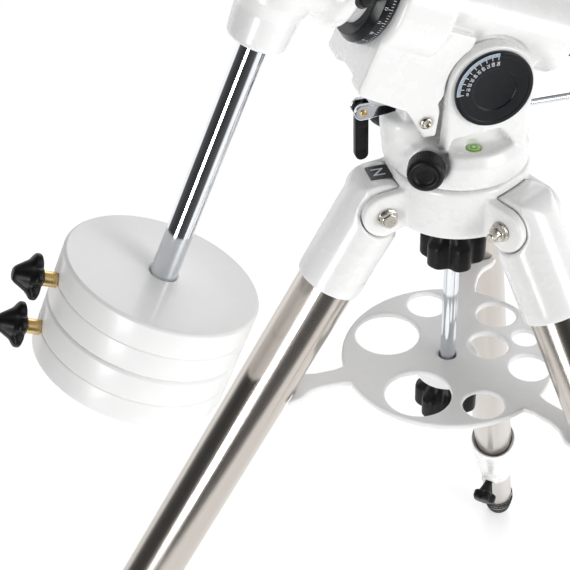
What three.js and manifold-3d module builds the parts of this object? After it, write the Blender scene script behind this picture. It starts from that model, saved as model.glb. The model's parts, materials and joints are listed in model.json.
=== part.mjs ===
// German equatorial telescope mount on a tubular field tripod, in millimetres.
// +Z is up, +Y is north (towards the pole), +X is east; the origin is on the ground, at the
// centre of the whole object's box. Inside the stand group, heights count from the top face
// of the accessory tray and the tripod's axis is x = y = 0.

import * as THREE from "three";
import { mergeVertices } from "three/addons/utils/BufferGeometryUtils.js";
import Module from "manifold-3d";

// ---------------------------------------------------------------- driving dimensions
const FIT = 0.3;

const SPLAY = 30;
const HINGE_RADIUS = 61;
const HINGE_HEIGHT = 162;
const LEG_LENGTH = 1086;
const FOOT_RADIUS = 17;
const FOOT_HEIGHT = 15.5;
const TUBE_RADIUS = 22.25;
const TUBE_WALL = 1.5;
const LOWER_RADIUS = 19;
const CASTING_RADIUS = 25.7;
const TONGUE_HALF = 16.5;
const EAR_RADIUS = 21;
const EAR_OUTER = 24.5;
const BOLT_RADIUS = 4;
const CASTING_END = -76;
const CLAMP = { top: -770, end: -918, seat: -850, screw: -882, turn: -8, boss: 11 };
const LEG_ANGLES = { north: 90, southwest: 210, southeast: 330 };

const HEAD_RADIUS = 52.5;
const HEAD_BOTTOM = 148;
const HEAD_TOP = 189;
const ROD_RADIUS = 6;
const TRAY_RADIUS = 85;
const TRAY_THICK = 5.5;

const BASE_RADIUS = 50;
const BASE_TOP = 215;
const FORK_INNER = 26;
const FORK_OUTER = 38;
const PEG = { y: 20.3, radius: 5, top: 212 };
const AZIMUTH_SCREW = { angle: 24.4, faceX: 50, faceY: 43, height: 208.5, radius: 3.5, recess: 16.8 };

const PIVOT = { y: -8, z: 263 };
const ALTITUDE = 23.5;
const NORTH_BOLT = { z: 240, radius: 4, tip: 0.9, end: 73.2 };
const SOUTH_BOLT = { z: 222, radius: 3.25, tip: -16.8, end: -99 };
const LUG = { half: 9, south: -16, north: 0, bottom: 218.5 };

const RA_OFFSET = 35;
const RA_TUBE = 28;
const RA_NORTH = 112;
const RA_SOUTH = -52;
const GEAR_PLACE = 68;
const WHEEL_RADIUS = 38;
const WHEEL_TEETH = 72;
const WORM_RADIUS = 5;
const DEC_PLACE = 158;

const DEC_TUBE = 27;
const DEC_TOP = 70;
const DEC_BOTTOM = -58;
const DEC_WHEEL_RADIUS = 27;
const DEC_WHEEL_PLACE = 38;
const SADDLE = { bottom: 86, floor: 99.4, pad: 100, screw: 107, top: 114 };
const WAIST_RADIUS = 14;

const BAR_RADIUS = 10;
const BAR_END = -350;
const WEIGHT_RADIUS = 74;
const WEIGHT_THICK = 42;
const WEIGHT_TOP = -247;
const WEIGHT_KNOB_REACH = 86.5;

const LEG_COS = Math.cos(THREE.MathUtils.degToRad(SPLAY));
const LEG_SIN = Math.sin(THREE.MathUtils.degToRad(SPLAY));
const TRAY_HEIGHT = LEG_LENGTH * LEG_COS - HINGE_HEIGHT + FOOT_HEIGHT;
const FOOT_CIRCLE = HINGE_RADIUS + LEG_LENGTH * LEG_SIN;
const AXIS_Y = -FOOT_CIRCLE / 4;

// ---------------------------------------------------------------- finishes
const FINISH = {
  white: { color: 0xf2f2f0, roughness: 0.28, metalness: 0 },
  weight: { color: 0xededea, roughness: 0.3, metalness: 0 },
  tray: { color: 0xe4e4e2, roughness: 0.45, metalness: 0 },
  steel: { color: 0xa8a29a, roughness: 0.32, metalness: 1 },
  chrome: { color: 0xd5d8dc, roughness: 0.08, metalness: 1 },
  nickel: { color: 0xb9b2a3, roughness: 0.22, metalness: 1 },
  brass: { color: 0xc9a45a, roughness: 0.3, metalness: 1 },
  black: { color: 0x1b1c1e, roughness: 0.42, metalness: 0 },
  circle: { color: 0x17191c, roughness: 0.35, metalness: 0.2 },
  level: { color: 0x7fae55, roughness: 0.1, metalness: 0 },
  rubber: { color: 0x232323, roughness: 0.8, metalness: 0 },
};

// ---------------------------------------------------------------- joining and cutting
const wasm = await Module();
wasm.setup();

function toSolid(geometry) {
  const bare = new THREE.BufferGeometry();
  bare.setAttribute("position", geometry.getAttribute("position"));
  bare.setIndex(geometry.index);
  const merged = mergeVertices(bare, 1e-4);
  const corners = merged.index.array;
  const kept = [];
  for (let i = 0; i < corners.length; i += 3) {
    const [a, b, c] = [corners[i], corners[i + 1], corners[i + 2]];
    if (a !== b && b !== c && c !== a) kept.push(a, b, c);
  }
  const mesh = new wasm.Mesh({
    numProp: 3,
    vertProperties: new Float32Array(merged.getAttribute("position").array),
    triVerts: new Uint32Array(kept),
  });
  return new wasm.Manifold(mesh);
}

function toGeometry(solid) {
  const mesh = solid.getMesh();
  const geometry = new THREE.BufferGeometry();
  geometry.setAttribute("position", new THREE.BufferAttribute(mesh.vertProperties, 3));
  geometry.setIndex(new THREE.BufferAttribute(mesh.triVerts, 1));
  return geometry;
}

function join(...geometries) {
  return toGeometry(geometries.map(toSolid).reduce((sum, next) => sum.add(next)));
}

function cut(base, ...tools) {
  return toGeometry(tools.map(toSolid).reduce((rest, tool) => rest.subtract(tool), toSolid(base)));
}

function common(first, second) {
  return toGeometry(toSolid(first).intersect(toSolid(second)));
}

// ---------------------------------------------------------------- simple shapes
const radians = THREE.MathUtils.degToRad;

function sidesFor(radius) {
  if (radius < 8) return 10;
  if (radius < 20) return 14;
  return radius < 30 ? 20 : 28;
}

function box(x, y, z) {
  const geometry = new THREE.BoxGeometry(x[1] - x[0], y[1] - y[0], z[1] - z[0]);
  return geometry.translate((x[0] + x[1]) / 2, (y[0] + y[1]) / 2, (z[0] + z[1]) / 2);
}

// A cylinder, or a cone when endRadius differs, along +Z.
function rod(radius, z0, z1, endRadius = radius, sides = sidesFor(Math.max(radius, endRadius))) {
  const geometry = new THREE.CylinderGeometry(endRadius, radius, z1 - z0, sides);
  return geometry.rotateX(Math.PI / 2).translate(0, 0, (z0 + z1) / 2);
}

// A cutting tool for a bore: its flats, not its corners, lie at the given radius.
function hole(radius, z0, z1, sides = sidesFor(radius)) {
  return rod(radius / Math.cos(Math.PI / sides), z0, z1, radius / Math.cos(Math.PI / sides), sides);
}

// A profile of [radius, height] points turned about +Z, listed upwards along the outside.
function turned(profile, sides = sidesFor(Math.max(...profile.map((point) => point[0])))) {
  const points = profile.map(([radius, height]) => new THREE.Vector2(radius, height));
  return new THREE.LatheGeometry(points, sides).rotateX(Math.PI / 2);
}

function pipe(inner, outer, z0, z1) {
  return turned([[inner, z0], [outer, z0], [outer, z1], [inner, z1], [inner, z0]], 20);
}

function alongX(geometry) {
  return geometry.rotateY(Math.PI / 2);
}

function alongY(geometry) {
  return geometry.rotateX(-Math.PI / 2);
}

function outline(points) {
  return new THREE.Shape(points.map(([u, v]) => new THREE.Vector2(u, v)));
}

function plate(shape, z0, z1, curveSegments = 6) {
  const geometry = new THREE.ExtrudeGeometry(shape, { depth: z1 - z0, bevelEnabled: false, curveSegments });
  return geometry.translate(0, 0, z0);
}

// An outline in the YZ plane, given as [y, z], with its thickness along X.
function slab(shape, x0, x1, curveSegments = 6) {
  const axes = new THREE.Matrix4().makeBasis(
    new THREE.Vector3(0, 1, 0),
    new THREE.Vector3(0, 0, 1),
    new THREE.Vector3(1, 0, 0),
  );
  return plate(shape, x0, x1, curveSegments).applyMatrix4(axes);
}

// A hand knob along +Z: a lobed grip from z = 0 to its height, then a neck and a stud below it.
function starKnob({
  radius,
  lobes,
  dip,
  height,
  neckRadius,
  neckLength,
  neckTop = neckRadius,
  studRadius = 0,
  studLength = 0,
  domeLength = 0,
  domeTop = 0,
}) {
  const steps = lobes * 6;
  const points = [];
  for (let i = 0; i < steps; i += 1) {
    const angle = (2 * Math.PI * i) / steps;
    const reach = radius - dip * (0.5 - 0.5 * Math.cos(lobes * angle)) ** 2;
    points.push([reach * Math.cos(angle), reach * Math.sin(angle)]);
  }
  let knob = join(plate(outline(points), 0, height), rod(neckRadius, -neckLength, 1, neckTop));
  if (domeLength > 0) knob = join(knob, rod(radius - dip, height - 0.5, height + domeLength, domeTop));
  if (studRadius > 0) knob = join(knob, rod(studRadius, -neckLength - studLength, 0));
  return knob;
}

function roundKnob(radius, height, neckLength, studRadius, studLength) {
  const grip = turned([
    [0, 0],
    [radius - 2, 0],
    [radius, 2],
    [radius, height - 2],
    [radius - 2, height],
    [0, height],
  ]);
  const neck = rod(radius * 0.5, -neckLength, 1);
  return join(grip, neck, rod(studRadius, -neckLength - studLength, 0));
}

// Worm wheel with pointed teeth, its axis along +Z.
function wormWheel(radius, teeth, thickness, bore) {
  const points = [];
  for (let i = 0; i < teeth * 2; i += 1) {
    const angle = (Math.PI * i) / teeth;
    const reach = radius - (i % 2) * 1.4;
    points.push([reach * Math.cos(angle), reach * Math.sin(angle)]);
  }
  const hub = rod(bore + 6, -thickness / 2 - 4, thickness / 2 + 4);
  return cut(join(plate(outline(points), -thickness / 2, thickness / 2), hub), hole(bore, -99, 99));
}

// Worm along +X: a shaft with a helical thread stood in for by rings one tooth apart.
function worm(radius, pitch, rings, start, end) {
  const parts = [rod(radius - 2, start, end)];
  for (let i = 0; i < rings; i += 1) {
    const middle = (i - (rings - 1) / 2) * pitch;
    parts.push(turned([[0, middle - pitch], [radius, middle], [0, middle + pitch]], 8));
  }
  return alongX(join(...parts));
}

// ---------------------------------------------------------------- placing
function frameIn(parent, position, rotation = [0, 0, 0]) {
  const frame = new THREE.Group();
  frame.position.set(...position);
  frame.rotation.set(...rotation.map(radians));
  parent.add(frame);
  return frame;
}

function addPiece(parent, name, finish, geometry) {
  const mesh = new THREE.Mesh(geometry, new THREE.MeshStandardMaterial(FINISH[finish]));
  mesh.name = name;
  parent.add(mesh);
  return mesh;
}

const mount = new THREE.Group();
const stand = frameIn(mount, [0, AXIS_Y, TRAY_HEIGHT]);

// ---------------------------------------------------------------- tripod legs
// Leg frame: the hinge is the origin, the leg runs along -Z, outboard is +Y.
function legCasting() {
  const cap = new THREE.Shape();
  cap.moveTo(0, -22);
  cap.absarc(0, 0, 22, -Math.PI / 2, Math.PI / 2, true);
  cap.lineTo(5.4, 22);
  cap.absarc(5.4, 2, 20, Math.PI / 2, radians(SPLAY), true);
  cap.lineTo(37, -12);
  cap.lineTo(30, -30);
  const upper = slab(cap, -30, 30).rotateX(-radians(SPLAY));
  const lower = box([-30, 30], [-30, 30], [-95, -16]);
  const barrel = turned([
    [0, CASTING_END],
    [CASTING_RADIUS - 1.5, CASTING_END],
    [CASTING_RADIUS, CASTING_END + 2],
    [CASTING_RADIUS, 45],
    [0, 45],
  ], 32);
  const pocket = new THREE.Shape();
  pocket.moveTo(0, -EAR_RADIUS - 0.6);
  pocket.absarc(0, 0, EAR_RADIUS + 0.6, -Math.PI / 2, radians(55), false);
  pocket.lineTo(13, 40);
  pocket.lineTo(-40, 40);
  pocket.lineTo(-40, -EAR_RADIUS - 0.6);
  const west = slab(pocket, -40, -TONGUE_HALF).rotateX(-radians(SPLAY));
  const east = slab(pocket, TONGUE_HALF, 40).rotateX(-radians(SPLAY));
  const socket = hole(TUBE_RADIUS + FIT, -90, -40);
  const hingeHole = alongX(hole(BOLT_RADIUS + FIT, -40, 40));
  return cut(common(barrel, join(upper, lower)), west, east, socket, hingeHole);
}

function clampCollar() {
  const shell = turned([
    [0, CLAMP.end],
    [20.2, CLAMP.end],
    [21, CLAMP.end + 2],
    [24.2, CLAMP.end + 50],
    [27.4, CLAMP.top - 20],
    [27.4, CLAMP.top - 4],
    [26.4, CLAMP.top],
    [0, CLAMP.top],
  ], 20);
  const boss = alongY(rod(CLAMP.boss, -28.5, -10)).translate(0, 0, CLAMP.screw);
  const mouth = hole(25, CLAMP.top - 6, CLAMP.top + 10);
  const upperBore = hole(TUBE_RADIUS + FIT, CLAMP.seat, CLAMP.top + 10);
  const lowerBore = hole(LOWER_RADIUS + FIT, CLAMP.end - 10, CLAMP.seat + 5);
  const screwHole = alongY(hole(4.5, -40, -10)).translate(0, 0, CLAMP.screw);
  return cut(join(shell, boss), mouth, upperBore, lowerBore, screwHole).rotateZ(radians(CLAMP.turn));
}

function clampKnob() {
  const knob = starKnob({
    radius: 15,
    lobes: 5,
    dip: 4,
    height: 12,
    neckRadius: 4.8,
    neckTop: 9.5,
    neckLength: 14,
    studRadius: 4,
    studLength: 9,
  });
  return knob.rotateX(Math.PI / 2).translate(0, -43, CLAMP.screw).rotateZ(radians(CLAMP.turn));
}

function rubberFoot() {
  const profile = [];
  for (let i = 0; i <= 4; i += 1) {
    const angle = radians(-90 + i * 22.5);
    profile.push([FOOT_RADIUS * Math.cos(angle), FOOT_RADIUS * Math.sin(angle)]);
  }
  profile.push([FOOT_RADIUS + 4, 34], [FOOT_RADIUS + 4, 50], [FOOT_RADIUS + 3, 52], [0, 52]);
  profile[0][0] = 0;
  const body = turned(profile, 16).translate(0, 0, -LEG_LENGTH);
  const ground = box([-40, 40], [-40, 40], [-40, 0]).translate(0, 0, -FOOT_HEIGHT)
    .rotateX(-radians(SPLAY)).translate(0, 0, -LEG_LENGTH);
  const socket = hole(LOWER_RADIUS + FIT, -LEG_LENGTH + 22, -LEG_LENGTH + 60);
  return cut(body, ground, socket);
}

function hingeBolt() {
  const shank = rod(BOLT_RADIUS, -30, 34);
  const nutWasher = rod(8.5, EAR_OUTER + FIT, EAR_OUTER + 2);
  const headWasher = rod(8.5, -EAR_OUTER - 2, -EAR_OUTER - FIT);
  const nut = rod(7.5, EAR_OUTER + 1.8, EAR_OUTER + 8, 7.5, 6);
  const head = rod(7.5, -EAR_OUTER - 7.5, -EAR_OUTER - 1.8, 7.5, 6);
  return alongX(join(shank, nutWasher, headWasher, nut, head));
}

function addLeg(direction, angle) {
  const upright = frameIn(stand, [0, 0, 0], [0, 0, angle - 90]);
  const hinge = frameIn(upright, [0, HINGE_RADIUS, HINGE_HEIGHT]);
  const leg = frameIn(hinge, [0, 0, 0], [SPLAY, 0, 0]);
  addPiece(hinge, `hinge_bolt_${direction}`, "nickel", hingeBolt());
  addPiece(leg, `leg_casting_${direction}`, "white", legCasting());
  const upperTube = pipe(TUBE_RADIUS - TUBE_WALL, TUBE_RADIUS, CLAMP.seat + FIT, -41);
  addPiece(leg, `upper_tube_${direction}`, "steel", upperTube);
  addPiece(leg, `clamp_collar_${direction}`, "white", clampCollar());
  addPiece(leg, `clamp_knob_${direction}`, "black", clampKnob());
  const lowerTube = pipe(LOWER_RADIUS - TUBE_WALL, LOWER_RADIUS, -1062, -440);
  addPiece(leg, `lower_tube_${direction}`, "steel", lowerTube);
  addPiece(leg, `rubber_foot_${direction}`, "rubber", rubberFoot());
}

// ---------------------------------------------------------------- tripod head
function tripodHead() {
  let head = turned([
    [0, HEAD_BOTTOM],
    [HEAD_RADIUS - 2.5, HEAD_BOTTOM],
    [HEAD_RADIUS, HEAD_BOTTOM + 2.5],
    [HEAD_RADIUS, HEAD_TOP - 1],
    [HEAD_RADIUS - 1, HEAD_TOP],
    [0, HEAD_TOP],
  ], 40);
  const ear = new THREE.Shape();
  ear.moveTo(20, HEAD_BOTTOM + 3);
  ear.lineTo(45, HEAD_BOTTOM + 3);
  ear.lineTo(HINGE_RADIUS, HINGE_HEIGHT - EAR_RADIUS);
  ear.absarc(HINGE_RADIUS, HINGE_HEIGHT, EAR_RADIUS, -Math.PI / 2, Math.PI / 2, false);
  ear.lineTo(20, HEAD_TOP - 3);
  const slot = new THREE.Shape();
  slot.moveTo(HINGE_RADIUS, HINGE_HEIGHT + 22.5);
  slot.absarc(HINGE_RADIUS, HINGE_HEIGHT, 22.5, Math.PI / 2, 1.5 * Math.PI, false);
  slot.lineTo(110, HINGE_HEIGHT - 22.5);
  slot.lineTo(110, HEAD_TOP + 5);
  slot.lineTo(50.5, HEAD_TOP + 5);
  slot.lineTo(50.5, HINGE_HEIGHT + 22.5);
  for (const angle of Object.values(LEG_ANGLES)) {
    const turn = radians(angle - 90);
    head = join(head, slab(ear, -EAR_OUTER, EAR_OUTER).rotateZ(turn));
  }
  for (const angle of Object.values(LEG_ANGLES)) {
    const turn = radians(angle - 90);
    const gap = TONGUE_HALF + FIT;
    const boltHole = alongX(hole(BOLT_RADIUS + FIT, -40, 40)).translate(0, HINGE_RADIUS, HINGE_HEIGHT);
    head = cut(head, slab(slot, -gap, gap).rotateZ(turn), boltHole.rotateZ(turn));
  }
  const peg = rod(PEG.radius, HEAD_TOP - 3, PEG.top).translate(0, PEG.y, 0);
  return cut(join(head, peg), hole(ROD_RADIUS + FIT, 100, 220));
}

function accessoryTray() {
  const rim = [];
  for (let i = 0; i < 40; i += 1) {
    const angle = (2 * Math.PI * i) / 40;
    rim.push([TRAY_RADIUS * Math.cos(angle), TRAY_RADIUS * Math.sin(angle)]);
  }
  const top = outline(rim);
  const holes = [
    [54, 45, 26], [54, -45, 26], [65, 95, 16.25], [65, -95, 16.25],
    [66, 148, 16.25], [66, -148, 16.25], [35, 180, 16.25], [67, 180, 10.5],
  ];
  for (const [reach, bearing, radius] of holes) {
    const angle = radians(90 + bearing);
    const centre = [reach * Math.cos(angle), reach * Math.sin(angle)];
    top.holes.push(new THREE.Path().absarc(...centre, radius, 0, 2 * Math.PI, true));
  }
  let tray = join(plate(top, -TRAY_THICK, 0, 10), rod(25, -18, -1));
  const armEdge = [[12, 78], [8.5, 92], [8.5, 108], [11, 118], [18, 128], [19.5, 136], [14, 141]];
  const arm = outline([...armEdge, ...armEdge.map(([x, y]) => [-x, y]).reverse()]);
  for (const angle of Object.values(LEG_ANGLES)) {
    const turn = radians(angle - 90);
    const tube = hole(TUBE_RADIUS + 0.9, -300, 0)
      .rotateX(radians(SPLAY)).translate(0, HINGE_RADIUS, HINGE_HEIGHT);
    const rib = outline([[22, -16], [70, -14], [112, -8], [112, -3], [22, -3]]);
    tray = join(tray, plate(arm, -TRAY_THICK, 0).rotateZ(turn), slab(rib, -2, 2).rotateZ(turn));
    tray = cut(tray, tube.rotateZ(turn));
  }
  return cut(tray, hole(7.25, -30, 10));
}

function addTripod() {
  addPiece(stand, "tripod_head", "white", tripodHead());
  for (const [direction, angle] of Object.entries(LEG_ANGLES)) addLeg(direction, angle);
  addPiece(stand, "centre_rod", "chrome", turned([[0, -48], [ROD_RADIUS - 1, -48], [ROD_RADIUS, -47],
    [ROD_RADIUS, 204], [ROD_RADIUS - 1, 205], [0, 205]], 20));
  const bore = hole(ROD_RADIUS + FIT, -60, 200);
  const headKnob = starKnob({ radius: 25, lobes: 6, dip: 6, height: 24, neckRadius: 14, neckLength: 0 });
  const neck = rod(20, 22, 50, 11);
  addPiece(stand, "head_knob", "black", cut(join(headKnob, neck).translate(0, 0, 96.5), bore));
  addPiece(stand, "accessory_tray", "tray", accessoryTray());
  const trayKnob = starKnob({ radius: 25, lobes: 6, dip: 6, height: 23, neckRadius: 14, neckLength: 0 });
  const collar = rod(18, 21, 37.5, 12);
  const blind = hole(ROD_RADIUS + FIT, -50, 0);
  addPiece(stand, "tray_knob", "black", cut(join(trayKnob, collar).translate(0, 0, -56), blind));
}

// ---------------------------------------------------------------- azimuth base and its screws
const SCREW_COS = Math.cos(radians(AZIMUTH_SCREW.angle));
const SCREW_SIN = Math.sin(radians(AZIMUTH_SCREW.angle));
const SCREW_REACH = AZIMUTH_SCREW.faceX / SCREW_COS - PEG.radius - FIT;

// A shape built along +Z from the knob's face inwards, laid along the west or east azimuth screw.
function onAzimuthScrew(geometry, side) {
  geometry.rotateY(side * -Math.PI / 2).rotateZ(side * radians(AZIMUTH_SCREW.angle));
  return geometry.translate(side * AZIMUTH_SCREW.faceX, AZIMUTH_SCREW.faceY, AZIMUTH_SCREW.height);
}

function azimuthBase() {
  const ring = turned([[0, HEAD_TOP + FIT], [BASE_RADIUS, HEAD_TOP + FIT], [BASE_RADIUS + 1, HEAD_TOP + 2],
    [BASE_RADIUS + 1, 207], [BASE_RADIUS - 3, BASE_TOP], [0, BASE_TOP]], 40);
  const fork = new THREE.Shape();
  fork.moveTo(-36, 195);
  fork.lineTo(-36, 222);
  fork.lineTo(PIVOT.y - 31, PIVOT.z);
  fork.absarc(PIVOT.y, PIVOT.z, 31, Math.PI, 0, true);
  fork.lineTo(25, 222);
  fork.lineTo(28, 195);
  const column = turned([
    [0, HEAD_TOP + FIT],
    [12, HEAD_TOP + FIT],
    [14, 192.7],
    [16.8, 200.5],
    [18, 213],
    [19, 228],
    [17, 232],
    [0, 232],
  ], 24).translate(0, 40, 0);
  const northWall = box([-14, 14], [34, 46], [200, 247]);
  const southWall = box([-14, 14], [-44, -32], [200, 231]);
  let base = join(ring, slab(fork, FORK_INNER, FORK_OUTER, 10), slab(fork, -FORK_OUTER, -FORK_INNER, 10),
    column, northWall, southWall);
  const shelf = outline([[-27, BASE_TOP], [22, BASE_TOP], [19, 226], [-16, 229]]);
  for (const side of [-1, 1]) {
    base = cut(base, onAzimuthScrew(rod(AZIMUTH_SCREW.recess, -20, 24), side));
    base = join(base, onAzimuthScrew(rod(10, 24, 40), side));
    base = cut(base, onAzimuthScrew(hole(AZIMUTH_SCREW.radius + FIT, -5, SCREW_REACH + 8), side));
    base = cut(base, slab(shelf, Math.min(side * 29.5, side * 60), Math.max(side * 29.5, side * 60)));
  }
  const pivotHole = alongX(hole(16 + FIT, -60, 60)).translate(0, PIVOT.y, PIVOT.z);
  const northHole = alongY(hole(NORTH_BOLT.radius + FIT, 30, 50)).translate(0, 0, NORTH_BOLT.z);
  const southHole = alongY(hole(SOUTH_BOLT.radius + FIT, -50, -28)).translate(0, 0, SOUTH_BOLT.z);
  const centreHole = hole(ROD_RADIUS + FIT, 180, 207);
  const pegRoom = box([-9, 9], [PEG.y - 7.3, PEG.y + 7.2], [180, PEG.top + 1]);
  const levelSeat = hole(5.5, BASE_TOP - 3, BASE_TOP + 3).translate(-33.3, 1.5, 0);
  return cut(base, pivotHole, northHole, southHole, centreHole, pegRoom, levelSeat);
}

function azimuthKnob(side) {
  const grip = turned([[0, 0], [12, 0], [14.6, 1.5], [15.2, 4], [15.2, 13], [13.6, 15.5], [0, 15.5]], 20);
  const dish = rod(8.5, -2, 1.6, 7);
  const screw = rod(AZIMUTH_SCREW.radius, 12, SCREW_REACH);
  return onAzimuthScrew(join(cut(grip, dish), rod(7, 15, 21.5), screw), side);
}

// A push bolt along +Y with a two-cheeked clevis and its rivet at the handle end.
function altitudeBolt({ radius, tip, end, z }) {
  const away = Math.sign(end);
  const neck = end - away * 7;
  const between = (from, to) => [Math.min(from, to), Math.max(from, to)];
  const shank = alongY(rod(radius, ...between(tip + away * 3, neck + away)));
  const nose = alongY(away > 0 ? rod(1, tip, tip + 3.5, radius) : rod(radius, tip - 3.5, tip, 1));
  const block = box([-6.5, 6.5], between(neck, end + away * 6.5), [-6.5, 6.5]);
  const fork = box([-3.4, 3.4], between(neck + away * 2, end + away * 9), [-8, 8]);
  const rivet = alongX(rod(2.2, -7.6, 7.6)).translate(0, end, 0);
  return join(shank, nose, cut(block, fork), rivet).translate(0, 0, z);
}

function foldingHandle({ end, z }) {
  const shape = new THREE.Shape();
  shape.moveTo(-4, 0);
  shape.absarc(0, 0, 4, Math.PI, 0, true);
  shape.lineTo(4.9, -9);
  shape.lineTo(4.9, -35.5);
  shape.absarc(0, -35.5, 4.9, 0, Math.PI, true);
  shape.lineTo(-4.9, -9);
  const bar = slab(shape, -3.1, 3.1);
  return cut(bar, alongX(hole(2.5, -9, 9))).translate(0, end, z);
}

function addBase() {
  addPiece(stand, "azimuth_base", "white", azimuthBase());
  addPiece(stand, "azimuth_knob_west", "black", azimuthKnob(-1));
  addPiece(stand, "azimuth_knob_east", "black", azimuthKnob(1));
  addPiece(stand, "bubble_level", "level", turned([[0, BASE_TOP - 2.7], [5.2, BASE_TOP - 2.7],
    [5.2, BASE_TOP + 0.5], [4.4, BASE_TOP + 1.2], [0, BASE_TOP + 1.4]], 20).translate(-33.3, 1.5, 0));
  addPiece(stand, "altitude_bolt_north", "chrome", altitudeBolt(NORTH_BOLT));
  addPiece(stand, "altitude_handle_north", "black", foldingHandle(NORTH_BOLT));
  addPiece(stand, "altitude_bolt_south", "chrome", altitudeBolt(SOUTH_BOLT));
  addPiece(stand, "altitude_handle_south", "black", foldingHandle(SOUTH_BOLT));
}

// ---------------------------------------------------------------- polar (right ascension) housing
// Altitude frame: the altitude pivot is the origin and +Y runs parallel to the polar axis.
const WORM_DROP = WHEEL_RADIUS + WORM_RADIUS + FIT;

function polarHousing() {
  const upright = -radians(ALTITUDE);
  const tube = alongY(turned([[0, RA_SOUTH], [RA_TUBE - 2, RA_SOUTH], [RA_TUBE, RA_SOUTH + 2],
    [RA_TUBE, RA_NORTH], [0, RA_NORTH]], 36)).translate(0, 0, RA_OFFSET);
  const caseShape = [[0, 50], [42, 50], [45, 53], [45, 88], [42, 91], [0, 91]];
  const gearCase = alongY(turned(caseShape, 40)).translate(0, 0, RA_OFFSET);
  const keelShape = outline([
    [26, 10],
    [31, -20],
    [42, -32.5],
    [50.5, -33.1],
    [88.5, -30],
    [91, -27],
    [91, 30],
    [26, 30],
  ]);
  const keel = slab(keelShape, -36, 36);
  const lugShape = outline([[59.9, -9.6], [47.8, -31.8], [38.9, -32.9], [36.3, -14], [38, -5]]);
  const westLug = slab(lugShape, -36, -26).rotateX(upright);
  const eastLug = slab(lugShape, 26, 36).rotateX(upright);
  const blockShape = outline([[-33, 38], [-30, 0], [-18, -16.5], [34, -16.5], [46, 38]]);
  const saddleBlock = slab(blockShape, -25.5, 25.5);
  const pushLug = box([-LUG.half, LUG.half], [LUG.south - PIVOT.y, LUG.north - PIVOT.y],
    [LUG.bottom - PIVOT.z, -10]).rotateX(upright);
  const forkRoom = new THREE.Shape();
  forkRoom.moveTo(0, -70);
  forkRoom.lineTo(38, -60);
  forkRoom.lineTo(35, -14);
  forkRoom.lineTo(33.5, 0);
  forkRoom.absarc(0, 0, 33.5, 0, Math.PI, false);
  forkRoom.lineTo(-50, -70);
  const rooms = [slab(forkRoom, -60, -25.6).rotateX(upright), slab(forkRoom, 25.6, 60).rotateX(upright)];
  const channel = box([-17, 17], [22, 100], [-60, -24]);
  const trunnion = alongX(rod(16, -FORK_OUTER, FORK_OUTER));
  let housing = cut(join(tube, gearCase, keel, saddleBlock), ...rooms, channel);
  housing = join(housing, westLug, eastLug, pushLug, trunnion);
  const bore = alongY(hole(14 + FIT, -80, 130)).translate(0, 0, RA_OFFSET);
  const wheelRoom = alongY(hole(WHEEL_RADIUS + 1, GEAR_PLACE - 12, GEAR_PLACE + 12));
  wheelRoom.translate(0, 0, RA_OFFSET);
  const wormRoom = alongX(hole(WORM_RADIUS + 0.6, -30, 60)).translate(0, GEAR_PLACE, RA_OFFSET - WORM_DROP);
  return cut(housing, bore, wheelRoom, wormRoom);
}

function leverHandle(length) {
  const arm = box([-3.5, 3.5], [0, length], [3, 8]);
  const end = rod(4.5, 2, 10).translate(0, length, 0);
  return join(rod(6, 0, 9), arm, end, rod(3.5, -6, 1));
}

function addPolarAxis(altitude) {
  const polar = frameIn(altitude, [0, 0, RA_OFFSET]);
  addPiece(altitude, "polar_housing", "white", polarHousing());
  const cover = turned([[0, 0], [28, 0], [28, 2], [26.5, 3.4], [24, 3.4], [22, 2.6], [0, 2.6]], 28);
  cover.rotateY(-Math.PI / 2).translate(-FORK_OUTER - FIT, 0, 0);
  addPiece(altitude, "latitude_cover", "circle", cover);
  const scope = turned([
    [0, -72],
    [13, -72],
    [13, -58],
    [11, -55],
    [11, -50],
    [13.6, -50],
    [13.6, -30],
    [0, -30],
  ], 28);
  addPiece(polar, "polar_scope", "black", alongY(cut(scope, rod(7, -80, -66))));
  const wheel = alongY(wormWheel(WHEEL_RADIUS, WHEEL_TEETH, 12, 13 + FIT)).translate(0, GEAR_PLACE, 0);
  addPiece(polar, "ra_worm_wheel", "brass", wheel);
  const pitch = (2 * Math.PI * WHEEL_RADIUS) / WHEEL_TEETH;
  const raWorm = worm(WORM_RADIUS, pitch, 4, -28, 48).translate(0, GEAR_PLACE, -WORM_DROP);
  addPiece(polar, "ra_worm", "nickel", raWorm);
  const slowKnob = roundKnob(14, 18, 4, 0.5, 0.1).rotateY(Math.PI / 2);
  addPiece(polar, "ra_slow_motion_knob", "black", slowKnob.translate(52.6, GEAR_PLACE, -WORM_DROP));
  const circle = turned([
    [RA_TUBE + FIT, 93],
    [39, 93],
    [40, 94],
    [40, 101],
    [36, 106],
    [RA_TUBE + FIT, 106],
    [RA_TUBE + FIT, 93],
  ], 28);
  addPiece(polar, "ra_setting_circle", "circle", alongY(circle));
}

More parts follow.
